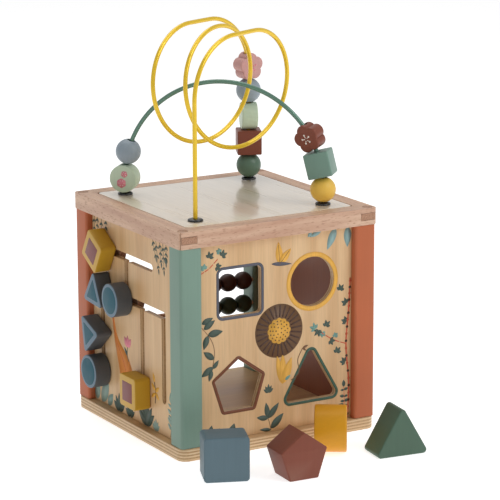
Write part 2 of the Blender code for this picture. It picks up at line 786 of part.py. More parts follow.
def make_wires():
    add("loop_wire", tube_mesh(loop_path(), WIRE_RADIUS), yellow_enamel())
    add("arch_wire", tube_mesh(arch_path(), WIRE_RADIUS), green_enamel())
    bore = WIRE_RADIUS + GAP
    dome = [(CAP_RADIUS * across, CAP_HEIGHT * up) for across, up in CAP_PROFILE]
    profile = [(bore, CAP_HEIGHT), *dome, (CAP_RADIUS, 0), (bore, 0)]
    for corner, (x, y) in CORNERS.items():
        place = Matrix.Translation((x * WIRE_FOOT, y * WIRE_FOOT, CUBE_HEIGHT + GAP))
        turned(f"wire_cap_{corner}", profile, black_plastic(), place)


def empty(name, matrix):
    made = bpy.data.objects.new(name, None)
    PARTS.objects.link(made)
    made.matrix_local = matrix
    return made


def make_loop_beads():
    """Five beads on the back leg. The flower's joint is the axis of the bend above it."""
    heights = loop_stack()

    def at(name, turn=0.0):
        place = Matrix.Translation((WIRE_FOOT, WIRE_FOOT, heights[name]))
        return place @ Matrix.Rotation(turn, 4, "Z")

    add_ball("loop_green_ball", green_paint(), at("ball"))
    add_cube("loop_brown_cube", brown_paint(), at("cube", BROWN_CUBE_TURN))
    disc_place = at("disc", MINT_DISC_TURN)
    add_flat("loop_mint_disc", disc_outline(), DISC_BEAD_THICKNESS, mint_paint(), disc_place)
    add_ball("loop_grey_ball", grey_paint(), at("grey"))
    across, _ = loop_axes()
    bend = Vector((WIRE_FOOT, WIRE_FOOT, bend_height())) - across * LOOP_HEIGHT
    pivot = empty("loop_bend_pivot", Matrix.Translation(bend) @ Matrix.Rotation(LOOP_AZIMUTH, 4, "Z"))
    along = Matrix.Rotation(-math.asin(LOOP_DROP / LOOP_HEIGHT), 4, "Y")
    outwards = Matrix.Translation((LOOP_HEIGHT - FLOWER_INSET, 0, 0))
    place = along @ outwards @ Matrix.Rotation(PINK_FLOWER_TURN, 4, "Z")
    add_flat("loop_pink_flower", flower_outline(), FLOWER_THICKNESS, pink_paint(), place, pivot)


def make_arch_beads():
    """Three beads on the arch's right foot and two on its left, all turning about the arch's centre."""
    pivot = empty("arch_pivot", arch_frame())
    half_cube = CUBE_BEAD_SIDE / 2

    def at(angle):
        """Bore along the wire at this angle, up the right side."""
        return Matrix.Rotation(-angle, 4, "Y") @ Matrix.Translation((ARCH_RADIUS, 0, 0))

    def step(*seats):
        return math.asin((sum(seats) + GAP) / ARCH_RADIUS)

    ball = math.asin((CAP_TOP + GAP + BALL_SEAT - ARCH_Z) / ARCH_RADIUS)
    cube = ball + step(BALL_RADIUS, half_cube)
    flower = cube + step(half_cube, flower_seat(), FLOWER_TILT_ROOM)
    add_ball("arch_yellow_ball", yellow_paint(), at(ball), pivot)
    add_cube("arch_sage_cube", sage_paint(), at(cube), pivot)
    flower_place = at(flower) @ Matrix.Rotation(BROWN_FLOWER_TURN, 4, "Z")
    add_flat("arch_brown_flower", flower_outline(), FLOWER_THICKNESS, brown_paint(), flower_place, pivot)
    disc = math.pi - math.asin((CAP_TOP + GAP + DISC_BEAD_RADIUS - ARCH_Z) / ARCH_RADIUS)
    grey = disc - step(DISC_BEAD_RADIUS, BALL_RADIUS)
    add_flat("arch_mint_disc", disc_outline(), DISC_BEAD_THICKNESS, mint_paint(), at(disc), pivot)
    add_ball("arch_grey_ball", grey_paint(), at(grey), pivot)


# ---------------------------------------------------------------- loose blocks

def add_block(name, outline, place, material):
    """A block that stands on its edge, the middle of its length over place."""
    x, ahead, turn = place
    lowest = min(z for _, z in outline)
    mesh = plate_mesh([outline], -BLOCK_LENGTH / 2, BLOCK_LENGTH / 2)
    frame = (
        Matrix.Translation((x, -HALF - ahead, -lowest))
        @ Matrix.Rotation(turn, 4, "Z")
        @ Matrix.Rotation(math.pi / 2, 4, "X")
    )
    block = add(name, mesh, material, frame)
    bevel(block, BLOCK_EDGE, 1)


def make_blocks():
    half = SQUARE_HOLE_SIDE / 2 - BLOCK_CLEARANCE
    corner = HOLE_CORNER - BLOCK_CLEARANCE
    square = rounded(rectangle((-half, -half), (half, half)), corner)
    pentagon_radius = PENTAGON_HOLE_RADIUS - BLOCK_CLEARANCE / math.cos(math.pi / 5)
    pentagon = rounded(polygon((0, 0), pentagon_radius, 5, math.pi / 2), PENTAGON_CORNER, PENTAGON_STEPS)
    triangle_radius = TRIANGLE_HOLE_RADIUS - 2 * BLOCK_CLEARANCE
    triangle = rounded(polygon((0, 0), triangle_radius, 3, math.pi / 2), corner)
    facet = math.pi / ROUND_STEPS
    disc = polygon((0, 0), ROUND_HOLE_RADIUS - BLOCK_CLEARANCE, ROUND_STEPS, -math.pi / 2 + facet)
    add_block("square_block", square, SQUARE_BLOCK, slate_paint())
    add_block("pentagon_block", pentagon, PENTAGON_BLOCK, brown_paint())
    add_block("triangle_block", triangle, TRIANGLE_BLOCK, green_paint())
    add_block("round_block", disc, ROUND_BLOCK, yellow_paint())


def main():
    make_base()
    make_posts()
    make_rails()
    make_dowels()
    make_top_panel()
    make_side_panels()
    make_knobs()
    make_abacus()
    make_wires()
    make_loop_beads()
    make_arch_beads()
    make_blocks()


clear_scene()
PARTS = new_collection("activity_cube")
CUTTERS = new_collection("cutters")
main()
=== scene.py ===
"""The looks of a wooden activity cube: shape sorter, slide maze, abacus and a bead maze on top.

Laid out as an add-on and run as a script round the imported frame. Metres, +Z up.
"""
import math

import bmesh
import bpy
import numpy as np
from mathutils import Matrix, Vector


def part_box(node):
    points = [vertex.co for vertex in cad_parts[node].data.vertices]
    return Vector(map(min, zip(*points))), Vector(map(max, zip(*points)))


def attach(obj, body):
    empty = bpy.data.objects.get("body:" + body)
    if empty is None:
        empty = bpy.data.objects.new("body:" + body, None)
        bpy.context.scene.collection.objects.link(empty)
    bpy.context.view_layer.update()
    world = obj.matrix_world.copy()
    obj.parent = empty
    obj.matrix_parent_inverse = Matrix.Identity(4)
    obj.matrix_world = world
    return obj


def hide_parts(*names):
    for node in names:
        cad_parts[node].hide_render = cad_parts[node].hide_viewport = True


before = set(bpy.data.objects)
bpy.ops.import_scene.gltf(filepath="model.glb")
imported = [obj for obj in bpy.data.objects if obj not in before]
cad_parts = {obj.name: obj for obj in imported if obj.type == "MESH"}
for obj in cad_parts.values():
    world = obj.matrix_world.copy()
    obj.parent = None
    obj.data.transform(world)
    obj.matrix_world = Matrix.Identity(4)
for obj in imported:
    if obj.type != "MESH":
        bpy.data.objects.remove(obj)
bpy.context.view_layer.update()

bl_info = {
    "name": "Activity cube",
    "version": (1, 0, 0),
    "blender": (4, 5, 0),
    "location": "3D View > Sidebar > Activity cube",
    "description": "Finishes a wooden activity cube: painted beech, plywood, enamelled wire and prints",
    "category": "Object",
}

MM = 0.001
TURN = 2 * math.pi

# Places shared with the frame
PANEL_FACE = 0.0925              # from the cube's middle to a printed panel's face
PANEL_THICKNESS = 0.005
WIRE_FOOT = 0.065
ARCH_HEIGHT = 0.2186             # centre of the arch
LOOP_HEIGHT = 0.053              # half height of a loop, and the end bends' radius
LOOP_WIDTH = 0.056
LOOP_START = 0.3066139           # where the back leg ends and its bend begins
LOOP_DROP = 0.0038               # from the flower's middle down to there
LOOP_TURNS = 2
LOOP_AZIMUTH = math.radians(19)
LOOP_EASE = 0.2
LOOP_BULGE = 0.06
WIRE_END = 0.1956                # both wires' ends, in the top panel
BORE = 0.0038                    # of a maze bead
WIRE_RADIUS = 2 * MM
BALL_RADIUS = 11.5 * MM          # the maze beads
CUBE_SIDE = 22.6 * MM
DISC_RADIUS = 12.6 * MM
DISC_THICKNESS = 15 * MM
FLOWER_RADIUS = 12.8 * MM        # over its petals
FLOWER_WAIST = 10.3 * MM         # between them
FLOWER_THICKNESS = 13.8 * MM
BLOCK_THICKNESS = 28.5 * MM
FRONT, LEFT, RIGHT = 0, -90, 90  # how far each side is turned from the front
CORNERS = {"front_left": (-1, -1), "front_right": (1, -1), "back_left": (-1, 1), "back_right": (1, 1)}


# ---------------------------------------------------------------- sizes and colours to change

def linear(colour):
    """'#rrggbb' in sRGB, as the linear values that a shader takes."""
    values = np.array([int(colour[i : i + 2], 16) for i in (1, 3, 5)]) / 255
    return tuple(np.where(values <= 0.04045, values / 12.92, ((values + 0.055) / 1.055) ** 2.4).tolist())


def opaque(colour):
    return (*linear(colour), 1)


def length(name, description, default):
    return bpy.props.FloatProperty(name=name, description=description, default=default, min=0, unit="LENGTH")


def colour(name, description, default):
    return bpy.props.FloatVectorProperty(
        name=name, description=description, default=linear(default), min=0, max=1, subtype="COLOR"
    )


class CubeSizes(bpy.types.PropertyGroup):
    """Sizes that only the looks have."""

    wood_edge: length("Wood edge", "Round-over on the base board; the rails have a third of it", 0.0007)
    block_edge: length("Block edge", "Round-over on the loose blocks", 0.0014)
    bead_edge: length("Bead edge", "Round-over on the cube, disc and flower beads", 0.0012)
    knob_edge: length("Knob edge", "Round-over on the slide knobs", 0.0010)
    print_height: length("Print height", "How far printed ink stands proud of the wood", 0.00008)


class CubeColours(bpy.types.PropertyGroup):
    """Finishes of the cube."""

    sage: colour("Sage", "Two of the posts and a cube bead", "#739183")
    terracotta: colour("Terracotta", "The other two posts", "#b55d33")
    slate: colour("Slate", "Square block", "#5b7079")
    brown: colour("Brown", "Pentagon block and brown beads", "#7e4433")
    ochre: colour("Ochre", "Round block", "#d9991c")
    yellow: colour("Yellow", "Ball on the arch", "#f2c557")
    forest: colour("Forest", "Triangle block", "#4e6756")
    mint: colour("Mint", "Disc beads", "#c5d6bd")
    grey: colour("Grey", "Grey balls", "#929fa9")
    pink: colour("Pink", "Flower bead", "#cc9b97")
    moss: colour("Moss", "Green ball", "#5e7866")
    # These two are the rows' brown and green darkened nearly to black: painted shade on the abacus at the
    # back of the cube.
    dark_brown: colour("Dark brown", "Upper row of the abacus", "#4a2f29")
    dark_green: colour("Dark green", "Lower row of the abacus", "#33402f")
    # The knob side colours are darker than the face colours: painted shade on the knobs' sides.
    knob: colour("Knob", "Sides of the round and triangular knobs", "#505356")
    knob_face: colour("Knob face", "Faces of the round and triangular knobs", "#687c8b")
    # Again the side colour is darker than the face colour: painted shade on the sides.
    ochre_knob: colour("Ochre knob", "Sides of the square knobs", "#bd922a")
    ochre_knob_face: colour("Ochre knob face", "Faces of the square knobs", "#c79f48")
    yellow_wire: colour("Yellow wire", "Enamel of the looped wire", "#ecc41f")
    green_wire: colour("Green wire", "Enamel of the arch", "#5d8171")


def sizes():
    return bpy.context.scene.activity_cube_sizes


def colours():
    return bpy.context.scene.activity_cube_colours


# ---------------------------------------------------------------- outlines, anticlockwise (n, 2) arrays

def arc(centre, radius, start, end, steps):
    """Points on an arc of a circle, from the angle start to the angle end, both among them."""
    angle = np.linspace(start, end, steps + 1)
    return np.stack([centre[0] + radius * np.cos(angle), centre[1] + radius * np.sin(angle)], axis=1)


def circle(centre, radius, steps=64):
    return arc(centre, radius, 0, TURN, steps)[:-1]


def polygon(centre, radius, sides, first=math.pi / 2):
    """The corners of an even polygon, the first one at the angle first."""
    return arc(centre, radius, first, first + TURN, sides)[:-1]


def box_corners(centre, width, height):
    corners = np.array([(-0.5, -0.5), (0.5, -0.5), (0.5, 0.5), (-0.5, 0.5)]) * (width, height)
    return corners + centre


def rounded(corners, radius, steps=8):
    """A convex outline with each corner turned into an arc that both its sides run into smoothly."""
    before = np.roll(corners, 1, axis=0) - corners
    after = np.roll(corners, -1, axis=0) - corners
    before /= np.linalg.norm(before, axis=1, keepdims=True)
    after /= np.linalg.norm(after, axis=1, keepdims=True)
    half = np.arccos(np.clip((before * after).sum(axis=1), -1, 1)) / 2
    middle = before + after
    middle /= np.linalg.norm(middle, axis=1, keepdims=True)
    centre = corners + middle * (radius / np.sin(half))[:, None]
    swing = math.pi - 2 * half
    start = np.arctan2(after[:, 1], after[:, 0]) - math.pi / 2 - swing
    angle = start[:, None] + swing[:, None] * np.linspace(0, 1, steps + 1)
    points = centre[:, None] + radius * np.stack([np.cos(angle), np.sin(angle)], axis=-1)
    return points.reshape(-1, 2)


def flower(radius, waist, lobes=5, steps=160):
    """Lobes round a circle: the radius swings from waist to radius with the cosine of half the lobe count."""
    angle = np.arange(steps) * TURN / steps
    swell = np.abs(np.cos(lobes / 2 * (angle - math.pi / 2))) ** 0.8
    reach = waist + (radius - waist) * swell
    return np.stack([reach * np.cos(angle), reach * np.sin(angle)], axis=1)


def inset(outline, distance):
    """The outline moved inwards by distance along the middle of the normals of its two neighbouring sides."""
    ahead = np.roll(outline, -1, axis=0) - outline
    behind = outline - np.roll(outline, 1, axis=0)
    ahead /= np.linalg.norm(ahead, axis=1, keepdims=True)
    behind /= np.linalg.norm(behind, axis=1, keepdims=True)
    middle = ahead + behind
    middle /= np.linalg.norm(middle, axis=1, keepdims=True)
    inwards = np.stack([-middle[:, 1], middle[:, 0]], axis=1)
    stretch = 1 / np.clip((middle * ahead).sum(axis=1), 0.3, 1)
    return outline + inwards * stretch[:, None] * distance


# ---------------------------------------------------------------- surfaces, as (rows, columns, 3) arrays

def lift(outlines, heights):
    """Outlines of (n, 2) points, each at its own height, as the rows of a grid."""
    heights = np.asarray(heights, float)
    outlines = np.asarray(outlines, float)
    z = np.broadcast_to(heights[:, None, None], (*outlines.shape[:2], 1))
    return np.concatenate([outlines, z], axis=2)


def slab(outline, low, high, edge, steps=4):
    """The outline carried straight up from low to high, with both rims rolled over on a quarter circle."""
    angle = np.linspace(0, math.pi / 2, steps + 1)
    drawn_in = edge * (1 - np.sin(angle))
    risen = edge * (1 - np.cos(angle))
    rims = [inset(outline, d) for d in drawn_in]
    return lift(rims + rims[::-1], np.concatenate([low + risen, high - risen[::-1]]))


def turned(profile, steps=64):
    """A closed profile of (radius, height) points carried round Z: one row for each of its points."""
    profile = np.asarray(profile, float)
    angle = np.arange(steps) * TURN / steps
    round_axis = np.stack([np.cos(angle), np.sin(angle)], axis=1)
    return lift(profile[:, None, :1] * round_axis, profile[:, 1])


def tube(path, aside, radius, steps=20):
    """A circle carried along a path of (n, 3) points. It lies across the path, in the plane of aside less its
    share along the path, and of that direction's cross product with the path's."""
    along = np.gradient(path, axis=0)
    along /= np.linalg.norm(along, axis=1, keepdims=True)
    first = aside - (along @ aside)[:, None] * along
    first /= np.linalg.norm(first, axis=1, keepdims=True)
    second = np.cross(along, first)
    angle = (np.arange(steps) * TURN / steps)[:, None]
    return path[:, None] + radius * (first[:, None] * np.cos(angle) + second[:, None] * np.sin(angle))


def grid_mesh(name, rows, closed=False):
    """A closed mesh of a grid whose columns run round. The last row joins the first one if the surface is
    closed; otherwise the first and the last row are filled."""
    count, columns = rows.shape[:2]
    row, column = np.meshgrid(np.arange(count if closed else count - 1), np.arange(columns), indexing="ij")
    next_row, next_column = (row + 1) % count, (column + 1) % columns
    corners = [row * columns + column, row * columns + next_column,
               next_row * columns + next_column, next_row * columns + column]
    faces = np.stack(corners, axis=-1).reshape(-1, 4).tolist()
    if not closed:
        faces += [list(range(columns))[::-1], list(range((count - 1) * columns, count * columns))]
    mesh = bpy.data.meshes.new(name)
    mesh.from_pydata(rows.reshape(-1, 3).tolist(), [], faces)
    return outwards(mesh)


def outwards(mesh):
    """The same mesh with its doubles merged and its faces turned outwards."""
    form = bmesh.new()
    form.from_mesh(mesh)
    bmesh.ops.remove_doubles(form, verts=form.verts, dist=0.001 * MM)
    bmesh.ops.recalc_face_normals(form, faces=form.faces)
    form.to_mesh(mesh)
    form.free()
    return mesh


def drilled(mesh, radius, matrix=None):
    """The mesh with a round bore along Z cut right through it."""
    reach = 40 * MM
    bore = grid_mesh("bore", lift([circle((0, 0), radius, 40)] * 2, (-reach, reach)))
    if matrix:
        bore.transform(matrix)
    body = bpy.data.objects.new("body", mesh)
    cutter = bpy.data.objects.new("cutter", bore)
    for obj in (body, cutter):
        bpy.context.scene.collection.objects.link(obj)
    cut = body.modifiers.new("Bore", "BOOLEAN")
    cut.object = cutter
    cut.solver = "EXACT"
    bpy.context.view_layer.update()
    made = bpy.data.meshes.new_from_object(body.evaluated_get(bpy.context.evaluated_depsgraph_get()))
    for obj in (body, cutter):
        bpy.data.objects.remove(obj)
    return made


def piece(name, mesh, material, body, slot, *nodes, matrix=None):
    """A finished piece at the origin, its place in its mesh. It rides on body and stands for the nodes."""
    if matrix:
        mesh.transform(matrix)
    obj = bpy.data.objects.new(name, mesh)
    bpy.context.scene.collection.objects.link(obj)
    mesh.materials.clear()
    mesh.materials.append(material)
    mesh.shade_smooth()
    mesh.set_sharp_from_angle(angle=math.radians(40))
    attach(obj, body)
    if nodes:
        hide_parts(*nodes)
    return obj


def rotation(degrees, axis):
    return Matrix.Rotation(math.radians(degrees), 4, axis)


def ray(angle):
    """The direction at this angle in the plane."""
    return np.array((math.cos(angle), math.sin(angle)))


def on_side(turn, distance):
    """The frame of one side of the cube: X across, Y up and Z outwards, as seen from outside."""
    return rotation(turn, "Z") @ Matrix.Translation((0, -distance, 0)) @ rotation(90, "X")


# ---------------------------------------------------------------- materials

def add_node(tree, kind, inputs=None, **settings):
    """Adds one shader node. The settings are its own, and each input is a value or another node's output."""
    made = tree.nodes.new("ShaderNode" + kind)
    for name, value in settings.items():
        setattr(made, name, value)
    for name, value in (inputs or {}).items():
        socket = made.inputs[name]
        if isinstance(value, bpy.types.NodeSocket):
            tree.links.new(value, socket)
        else:
            socket.default_value = value
    return made


def new_material(name, roughness, coat=0.0, specular=0.5):
    """(material, its node tree, its shader), with the numbers that are the same all over."""
    made = bpy.data.materials.new(name)
    made.use_nodes = True
    shader = made.node_tree.nodes["Principled BSDF"]
    shader.inputs["Roughness"].default_value = roughness
    shader.inputs["Coat Weight"].default_value = coat
    shader.inputs["Coat Roughness"].default_value = 0.12
    shader.inputs["Specular IOR Level"].default_value = specular
    return made, made.node_tree, shader


def noise(tree, place, size, stretch=(1, 1, 1), detail=3.0, seed=(0, 0, 0)):
    """Noise with lumps of this size in metres, drawn out by stretch along each axis, as a 0 to 1 output."""
    scale = [1 / s for s in stretch]
    moved = add_node(tree, "Mapping", {"Vector": place, "Scale": scale, "Location": seed})
    made = add_node(tree, "TexNoise", {"Vector": moved.outputs[0], "Scale": 0.5 / size, "Detail": detail})
    return made.outputs["Fac"]


def span(tree, value, low, high, to_low=0.0, to_high=1.0):
    """The value's range from low to high, spread over to_low to to_high and held at its ends."""
    made = add_node(tree, "MapRange", {0: value, 1: low, 2: high, 3: to_low, 4: to_high})
    return made.outputs[0]


def mixed(tree, factor, first, second):
    """Two colours mixed by factor."""
    return add_node(tree, "Mix", {0: factor, 6: first, 7: second}, data_type="RGBA").outputs[2]


def shaded(tree, base, shade):
    """A colour times a shade."""
    inputs = {0: 1.0, 6: base, 7: shade}
    return add_node(tree, "Mix", inputs, data_type="RGBA", blend_type="MULTIPLY").outputs[2]


def times(tree, first, second, operation="MULTIPLY"):
    return add_node(tree, "Math", {0: first, 1: second}, operation=operation).outputs[0]


def wired(tree, shader, tone, roughness, height=None, depth=0):
    """Links a colour, a roughness and, from a height of 0 to 1, a relief of this depth in metres."""
    tree.links.new(tone, shader.inputs["Base Color"])
    tree.links.new(roughness, shader.inputs["Roughness"])
    if height:
        bump = add_node(tree, "Bump", {"Height": height, "Distance": depth, "Strength": 1.0})
        tree.links.new(bump.outputs["Normal"], shader.inputs["Normal"])


def facing(tree, axis):
    """1 where the surface looks along this axis of the piece, either way, and 0 where it runs along it."""
    normal = add_node(tree, "TexCoord").outputs["Normal"]
    along = add_node(tree, "VectorMath", {0: normal, 1: axis}, operation="DOT_PRODUCT").outputs["Value"]
    return times(tree, times(tree, along, 0, "ABSOLUTE"), 0.7, "GREATER_THAN")


def sprayed_paint(name, base, roughness, grain_axis, face=None):
    """Beech under two sprayed coats of water-based paint. The coats leave a soft satin sheen with a very fine
    orange peel, the wood's grain shows through as faint streaks, and sharp edges are rubbed a shade paler.
    face is a lighter colour for the faces of the knobs, beyond a limit along X; their sides keep the darker
    base colour: painted shade on the sides."""
    made, tree, shader = new_material(name, roughness, specular=0.3)
    place = add_node(tree, "TexCoord").outputs["Object"]
    stretch = [1, 1, 1]
    stretch[grain_axis] = 25
    cloud = noise(tree, place, 26 * MM)
    streak = noise(tree, place, 0.9 * MM, stretch, 3)
    peel = noise(tree, place, 0.5 * MM, (1, 1, 1), 1)
    # On the knobs the faces take the lighter face colour and the sides the darker base: painted shade on the
    # sides.
    if face:
        across = add_node(tree, "SeparateXYZ", {0: place}).outputs[0]
        on_face = times(tree, across, KNOB_FACE_LIMIT, "LESS_THAN")
        base_colour = mixed(tree, on_face, (*base[:3], 1), (*face[:3], 1))
    else:
        base_colour = (*base[:3], 1)
    shade = times(tree, span(tree, cloud, 0.3, 0.7, 0.95, 1.04), span(tree, streak, 0.3, 0.7, 0.975, 1.02))
    colour_out = shaded(tree, base_colour, shade)
    worn = span(tree, add_node(tree, "NewGeometry").outputs["Pointiness"], 0.55, 0.7, 0, 0.16)
    tone = mixed(tree, worn, colour_out, (0.62, 0.5, 0.38, 1))
    gloss = span(tree, cloud, 0.2, 0.8, roughness - 0.06, roughness + 0.07)
    relief = times(tree, times(tree, streak, 0.8), times(tree, peel, 0.2), "ADD")
    wired(tree, shader, tone, gloss, relief, 0.02 * MM)
    return made


def beech(name, grain_axis, pale="#d8b69b", dark="#bb9076", roughness=0.45):
    """Planed and oiled beech: pinkish tan with soft bands a few millimetres wide, short darker flecks along
    the grain, and end grain that drinks the oil and turns darker. The flecks are 3 mm long and 0.5 mm wide,
    a little coarser than real ones, so that they show."""
    made, tree, shader = new_material(name, roughness)
    place = add_node(tree, "TexCoord").outputs["Object"]
    stretch = [1, 1, 1]
    stretch[grain_axis] = 12
    bands = noise(tree, place, 3.5 * MM, stretch, 4, (0.13, 0.07, 0.21))
    stretch[grain_axis] = 5
    fleck = noise(tree, place, 0.55 * MM, stretch, 1, (0.4, 0.2, 0.1))
    base = mixed(tree, span(tree, bands, 0.32, 0.68), opaque(dark), opaque(pale))
    flecks = span(tree, fleck, 0.58, 0.68, 0, 0.55)
    base = mixed(tree, flecks, base, opaque("#9a6a50"))
    axis = [0, 0, 0]
    axis[grain_axis] = 1
    pores = noise(tree, place, 0.5 * MM, (1, 1, 1), 2)
    end = mixed(tree, span(tree, pores, 0.35, 0.65), opaque("#8f6449"), opaque("#b98d70"))
    tone = mixed(tree, facing(tree, axis), base, end)
    gloss = span(tree, bands, 0.3, 0.7, roughness - 0.05, roughness + 0.08)
    wired(tree, shader, tone, gloss, times(tree, bands, flecks, "SUBTRACT"), 0.05 * MM)
    return made


def birch_ply(name, face_axis, pale="#dcb98c", dark="#caa172", roughness=0.42, coat=0.0, grain_axis=2,
              painted_shade_limit=0):
    """Birch plywood, sanded and lacquered: a pale creamy veneer with straight fine streaks along the grain
    and broad, faint cathedral bands, and on the edges the plies in turn, 1.4 mm each, with end grain
    in every second one. Faces under the given limit along face_axis are painted a dark reddish brown:
    painted shade on the panel's inner face, inside the cube."""
    made, tree, shader = new_material(name, roughness, coat)
    place = add_node(tree, "TexCoord").outputs["Object"]
    stretch = [1, 1, 1]
    stretch[grain_axis] = 18
    broad = noise(tree, place, 7 * MM, stretch, 2, (0.31, 0.11, 0.5))
    fine = noise(tree, place, 0.8 * MM, stretch, 4, (0.1, 0.6, 0.2))
    base = mixed(tree, span(tree, broad, 0.3, 0.7), opaque(dark), opaque(pale))
    lines = span(tree, fine, 0.25, 0.6, 0.9, 1.02)
    axes = add_node(tree, "SeparateXYZ", {0: place})
    # Painted shade: faces under the limit, which is the right panel's inner face, are painted dark reddish
    # brown.
    if painted_shade_limit:
        behind = times(tree, axes.outputs[face_axis], painted_shade_limit, "LESS_THAN")
        base = mixed(tree, behind, base, opaque("#9c5a33"))
    veneer = shaded(tree, base, lines)
    depth = times(tree, axes.outputs[face_axis], 1 / (1.4 * MM))
    layer = times(tree, times(tree, depth, 1.0, "PINGPONG"), 0.5, "GREATER_THAN")
    rough_ply = noise(tree, place, 0.7 * MM, (1, 1, 1), 2)
    end_ply = mixed(tree, span(tree, rough_ply, 0.3, 0.7), opaque("#a98258"), opaque("#c29d70"))
    long_ply = mixed(tree, span(tree, fine, 0.3, 0.7), opaque("#cfab7e"), opaque("#e2c9a2"))
    edge = mixed(tree, layer, end_ply, long_ply)
    axis = [0, 0, 0]
    axis[face_axis] = 1
    tone = mixed(tree, facing(tree, axis), edge, veneer)
    gloss = span(tree, broad, 0.3, 0.7, roughness - 0.04, roughness + 0.05)
    wired(tree, shader, tone, gloss, fine, 0.03 * MM)
    return made


def enamelled_wire(name, base):
    """Steel wire under a thick baked enamel: an even, glossy colour, a shade lighter and darker in
    slow clouds where it ran, and faint rubbing where the beads pass."""
    made, tree, shader = new_material(name, 0.26, 0.5)
    place = add_node(tree, "TexCoord").outputs["Object"]
    cloud = noise(tree, place, 18 * MM, (1, 1, 1), 1)
    rub = noise(tree, place, 4 * MM, (1, 1, 1), 2)
    shade = span(tree, cloud, 0.3, 0.7, 0.95, 1.03)
    wired(tree, shader, shaded(tree, (*base[:3], 1), shade), span(tree, rub, 0.35, 0.7, 0.22, 0.3))
    return made


def moulded_plastic(name):
    """Injection-moulded black ABS: nearly black, with a hard gloss, a fine moulded grain and a dull
    mark here and there."""
    made, tree, shader = new_material(name, 0.3, 0.2)
    place = add_node(tree, "TexCoord").outputs["Object"]
    cloud = noise(tree, place, 2.5 * MM)
    fine = noise(tree, place, 0.4 * MM)
    shade = span(tree, cloud, 0.3, 0.7, 0.8, 1.25)
    gloss = span(tree, cloud, 0.3, 0.7, 0.22, 0.38)
    wired(tree, shader, shaded(tree, opaque("#17171b"), shade), gloss, fine, 0.02 * MM)
    return made


def screen_ink(name, base, roughness=0.5):
    """Matt screen-printing ink on veneer: the film is thin, so the wood's vertical grain breaks it up a
    little and the colour pools and thins in soft patches."""
    made, tree, shader = new_material(name, roughness)
    place = add_node(tree, "TexCoord").outputs["Object"]
    grain = noise(tree, place, 0.8 * MM, (1, 1, 12), 4)
    pool = noise(tree, place, 5 * MM)
    shade = times(tree, span(tree, grain, 0.3, 0.7, 0.92, 1.06), span(tree, pool, 0.3, 0.7, 0.95, 1.05))
    gloss = span(tree, pool, 0.3, 0.7, roughness - 0.07, roughness + 0.07)
    wired(tree, shader, shaded(tree, opaque(base), shade), gloss, grain, 0.03 * MM)
    return made


# Paint: its colour's name, its roughness and the axis that the grain runs along
PAINTS = {
    "sage_post_paint": ("sage", 0.42, 2),
    "terracotta_post_paint": ("terracotta", 0.42, 2),
    "slate_block_paint": ("slate", 0.48, 2),
    "brown_block_paint": ("brown", 0.48, 2),
    "ochre_block_paint": ("ochre", 0.36, 0),
    "forest_block_paint": ("forest", 0.48, 2),
    "sage_bead_paint": ("sage", 0.38, 2),
    "brown_bead_paint": ("brown", 0.38, 2),
    "yellow_bead_paint": ("yellow", 0.36, 2),
    "forest_bead_paint": ("moss", 0.36, 2),
    "mint_bead_paint": ("mint", 0.4, 2),
    "grey_bead_paint": ("grey", 0.38, 2),
    "pink_bead_paint": ("pink", 0.42, 2),
    # The abacus beads' near-black is painted shade over their own brown and green.
    "dark_brown_bead_paint": ("dark_brown", 0.4, 0),
    "dark_green_bead_paint": ("dark_green", 0.4, 0),
}
INKS = {
    "ink_dark_green": "#42544a",
    "ink_teal": "#6f9a90",
    "ink_sage": "#8aa398",
    "ink_sky": "#87a7a6",
    "ink_rust": "#c8593a",
    "ink_orange": "#e08a3c",
    "ink_ochre": "#e3ab45",
    "ink_brown": "#75502f",
    "ink_umber": "#664627",
    "ink_dark_brown": "#44291a",
    "ink_violet_grey": "#50515c",
    "ink_forest": "#315342",
    "ink_red_brown": "#6f3a1b",
    "ink_pink": "#de8390",
    "ink_white": "#efe6dc",
}


def finish(name):
    """The named finish, made the first time that it is asked for."""
    found = bpy.data.materials.get(name)
    if found:
        return found
    if name in INKS:
        return screen_ink(name, INKS[name])
    paints = colours()
    if name in PAINTS:
        paint, roughness, grain_axis = PAINTS[name]
        return sprayed_paint(name, getattr(paints, paint), roughness, grain_axis)
    makers = {
        # Knob sides darker than their faces: painted shade.
        "slate_knob_paint": lambda: sprayed_paint(name, paints.knob, 0.45, 2, paints.knob_face),
        "ochre_knob_paint": lambda: sprayed_paint(name, paints.ochre_knob, 0.4, 2, paints.ochre_knob_face),
        "beech_along_x": lambda: beech(name, 0),
        "beech_along_y": lambda: beech(name, 1),
        "beech_dark_plug": lambda: beech(name, 2, "#6a4635", "#4d3023"),
        # Darker than the other beech: painted shade on the pins and washers inside the cube.
        "beech_turned_shaded": lambda: beech(name, 1, "#c39d82", "#a67e64"),
        "birch_ply_front": lambda: birch_ply(name, 1),
        "birch_ply_side": lambda: birch_ply(name, 0),
        # The right panel's inner face is painted dark reddish brown as painted shade inside the cube.
        "birch_ply_shaded_inside": lambda: birch_ply(name, 0, painted_shade_limit=PANEL_FACE - PANEL_THICKNESS / 2),
        "birch_ply_base": lambda: birch_ply(name, 2, grain_axis=0),
        # Much paler than the other plywood: painted reflection of the bright surroundings on the top, over
        # its real glossy coat.
        "lacquered_birch_top_painted_reflection": lambda: birch_ply(name, 2, "#f0e3d2", "#e6d5bd", 0.3, 0.9, 1),
        "yellow_enamel": lambda: enamelled_wire(name, paints.yellow_wire),
        "green_enamel": lambda: enamelled_wire(name, paints.green_wire),
        "black_abs": lambda: moulded_plastic(name),
        "ink_knob_teal": lambda: screen_ink(name, "#12505f", 0.6),
        "ink_knob_red": lambda: screen_ink(name, "#7a3f3c", 0.45),
    }
    return makers[name]()


# ---------------------------------------------------------------- the frame

def box_size(node):
    low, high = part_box(node)
    return Vector(high) - Vector(low)


def box_middle(node):
    low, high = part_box(node)
    return (Vector(low) + Vector(high)) / 2


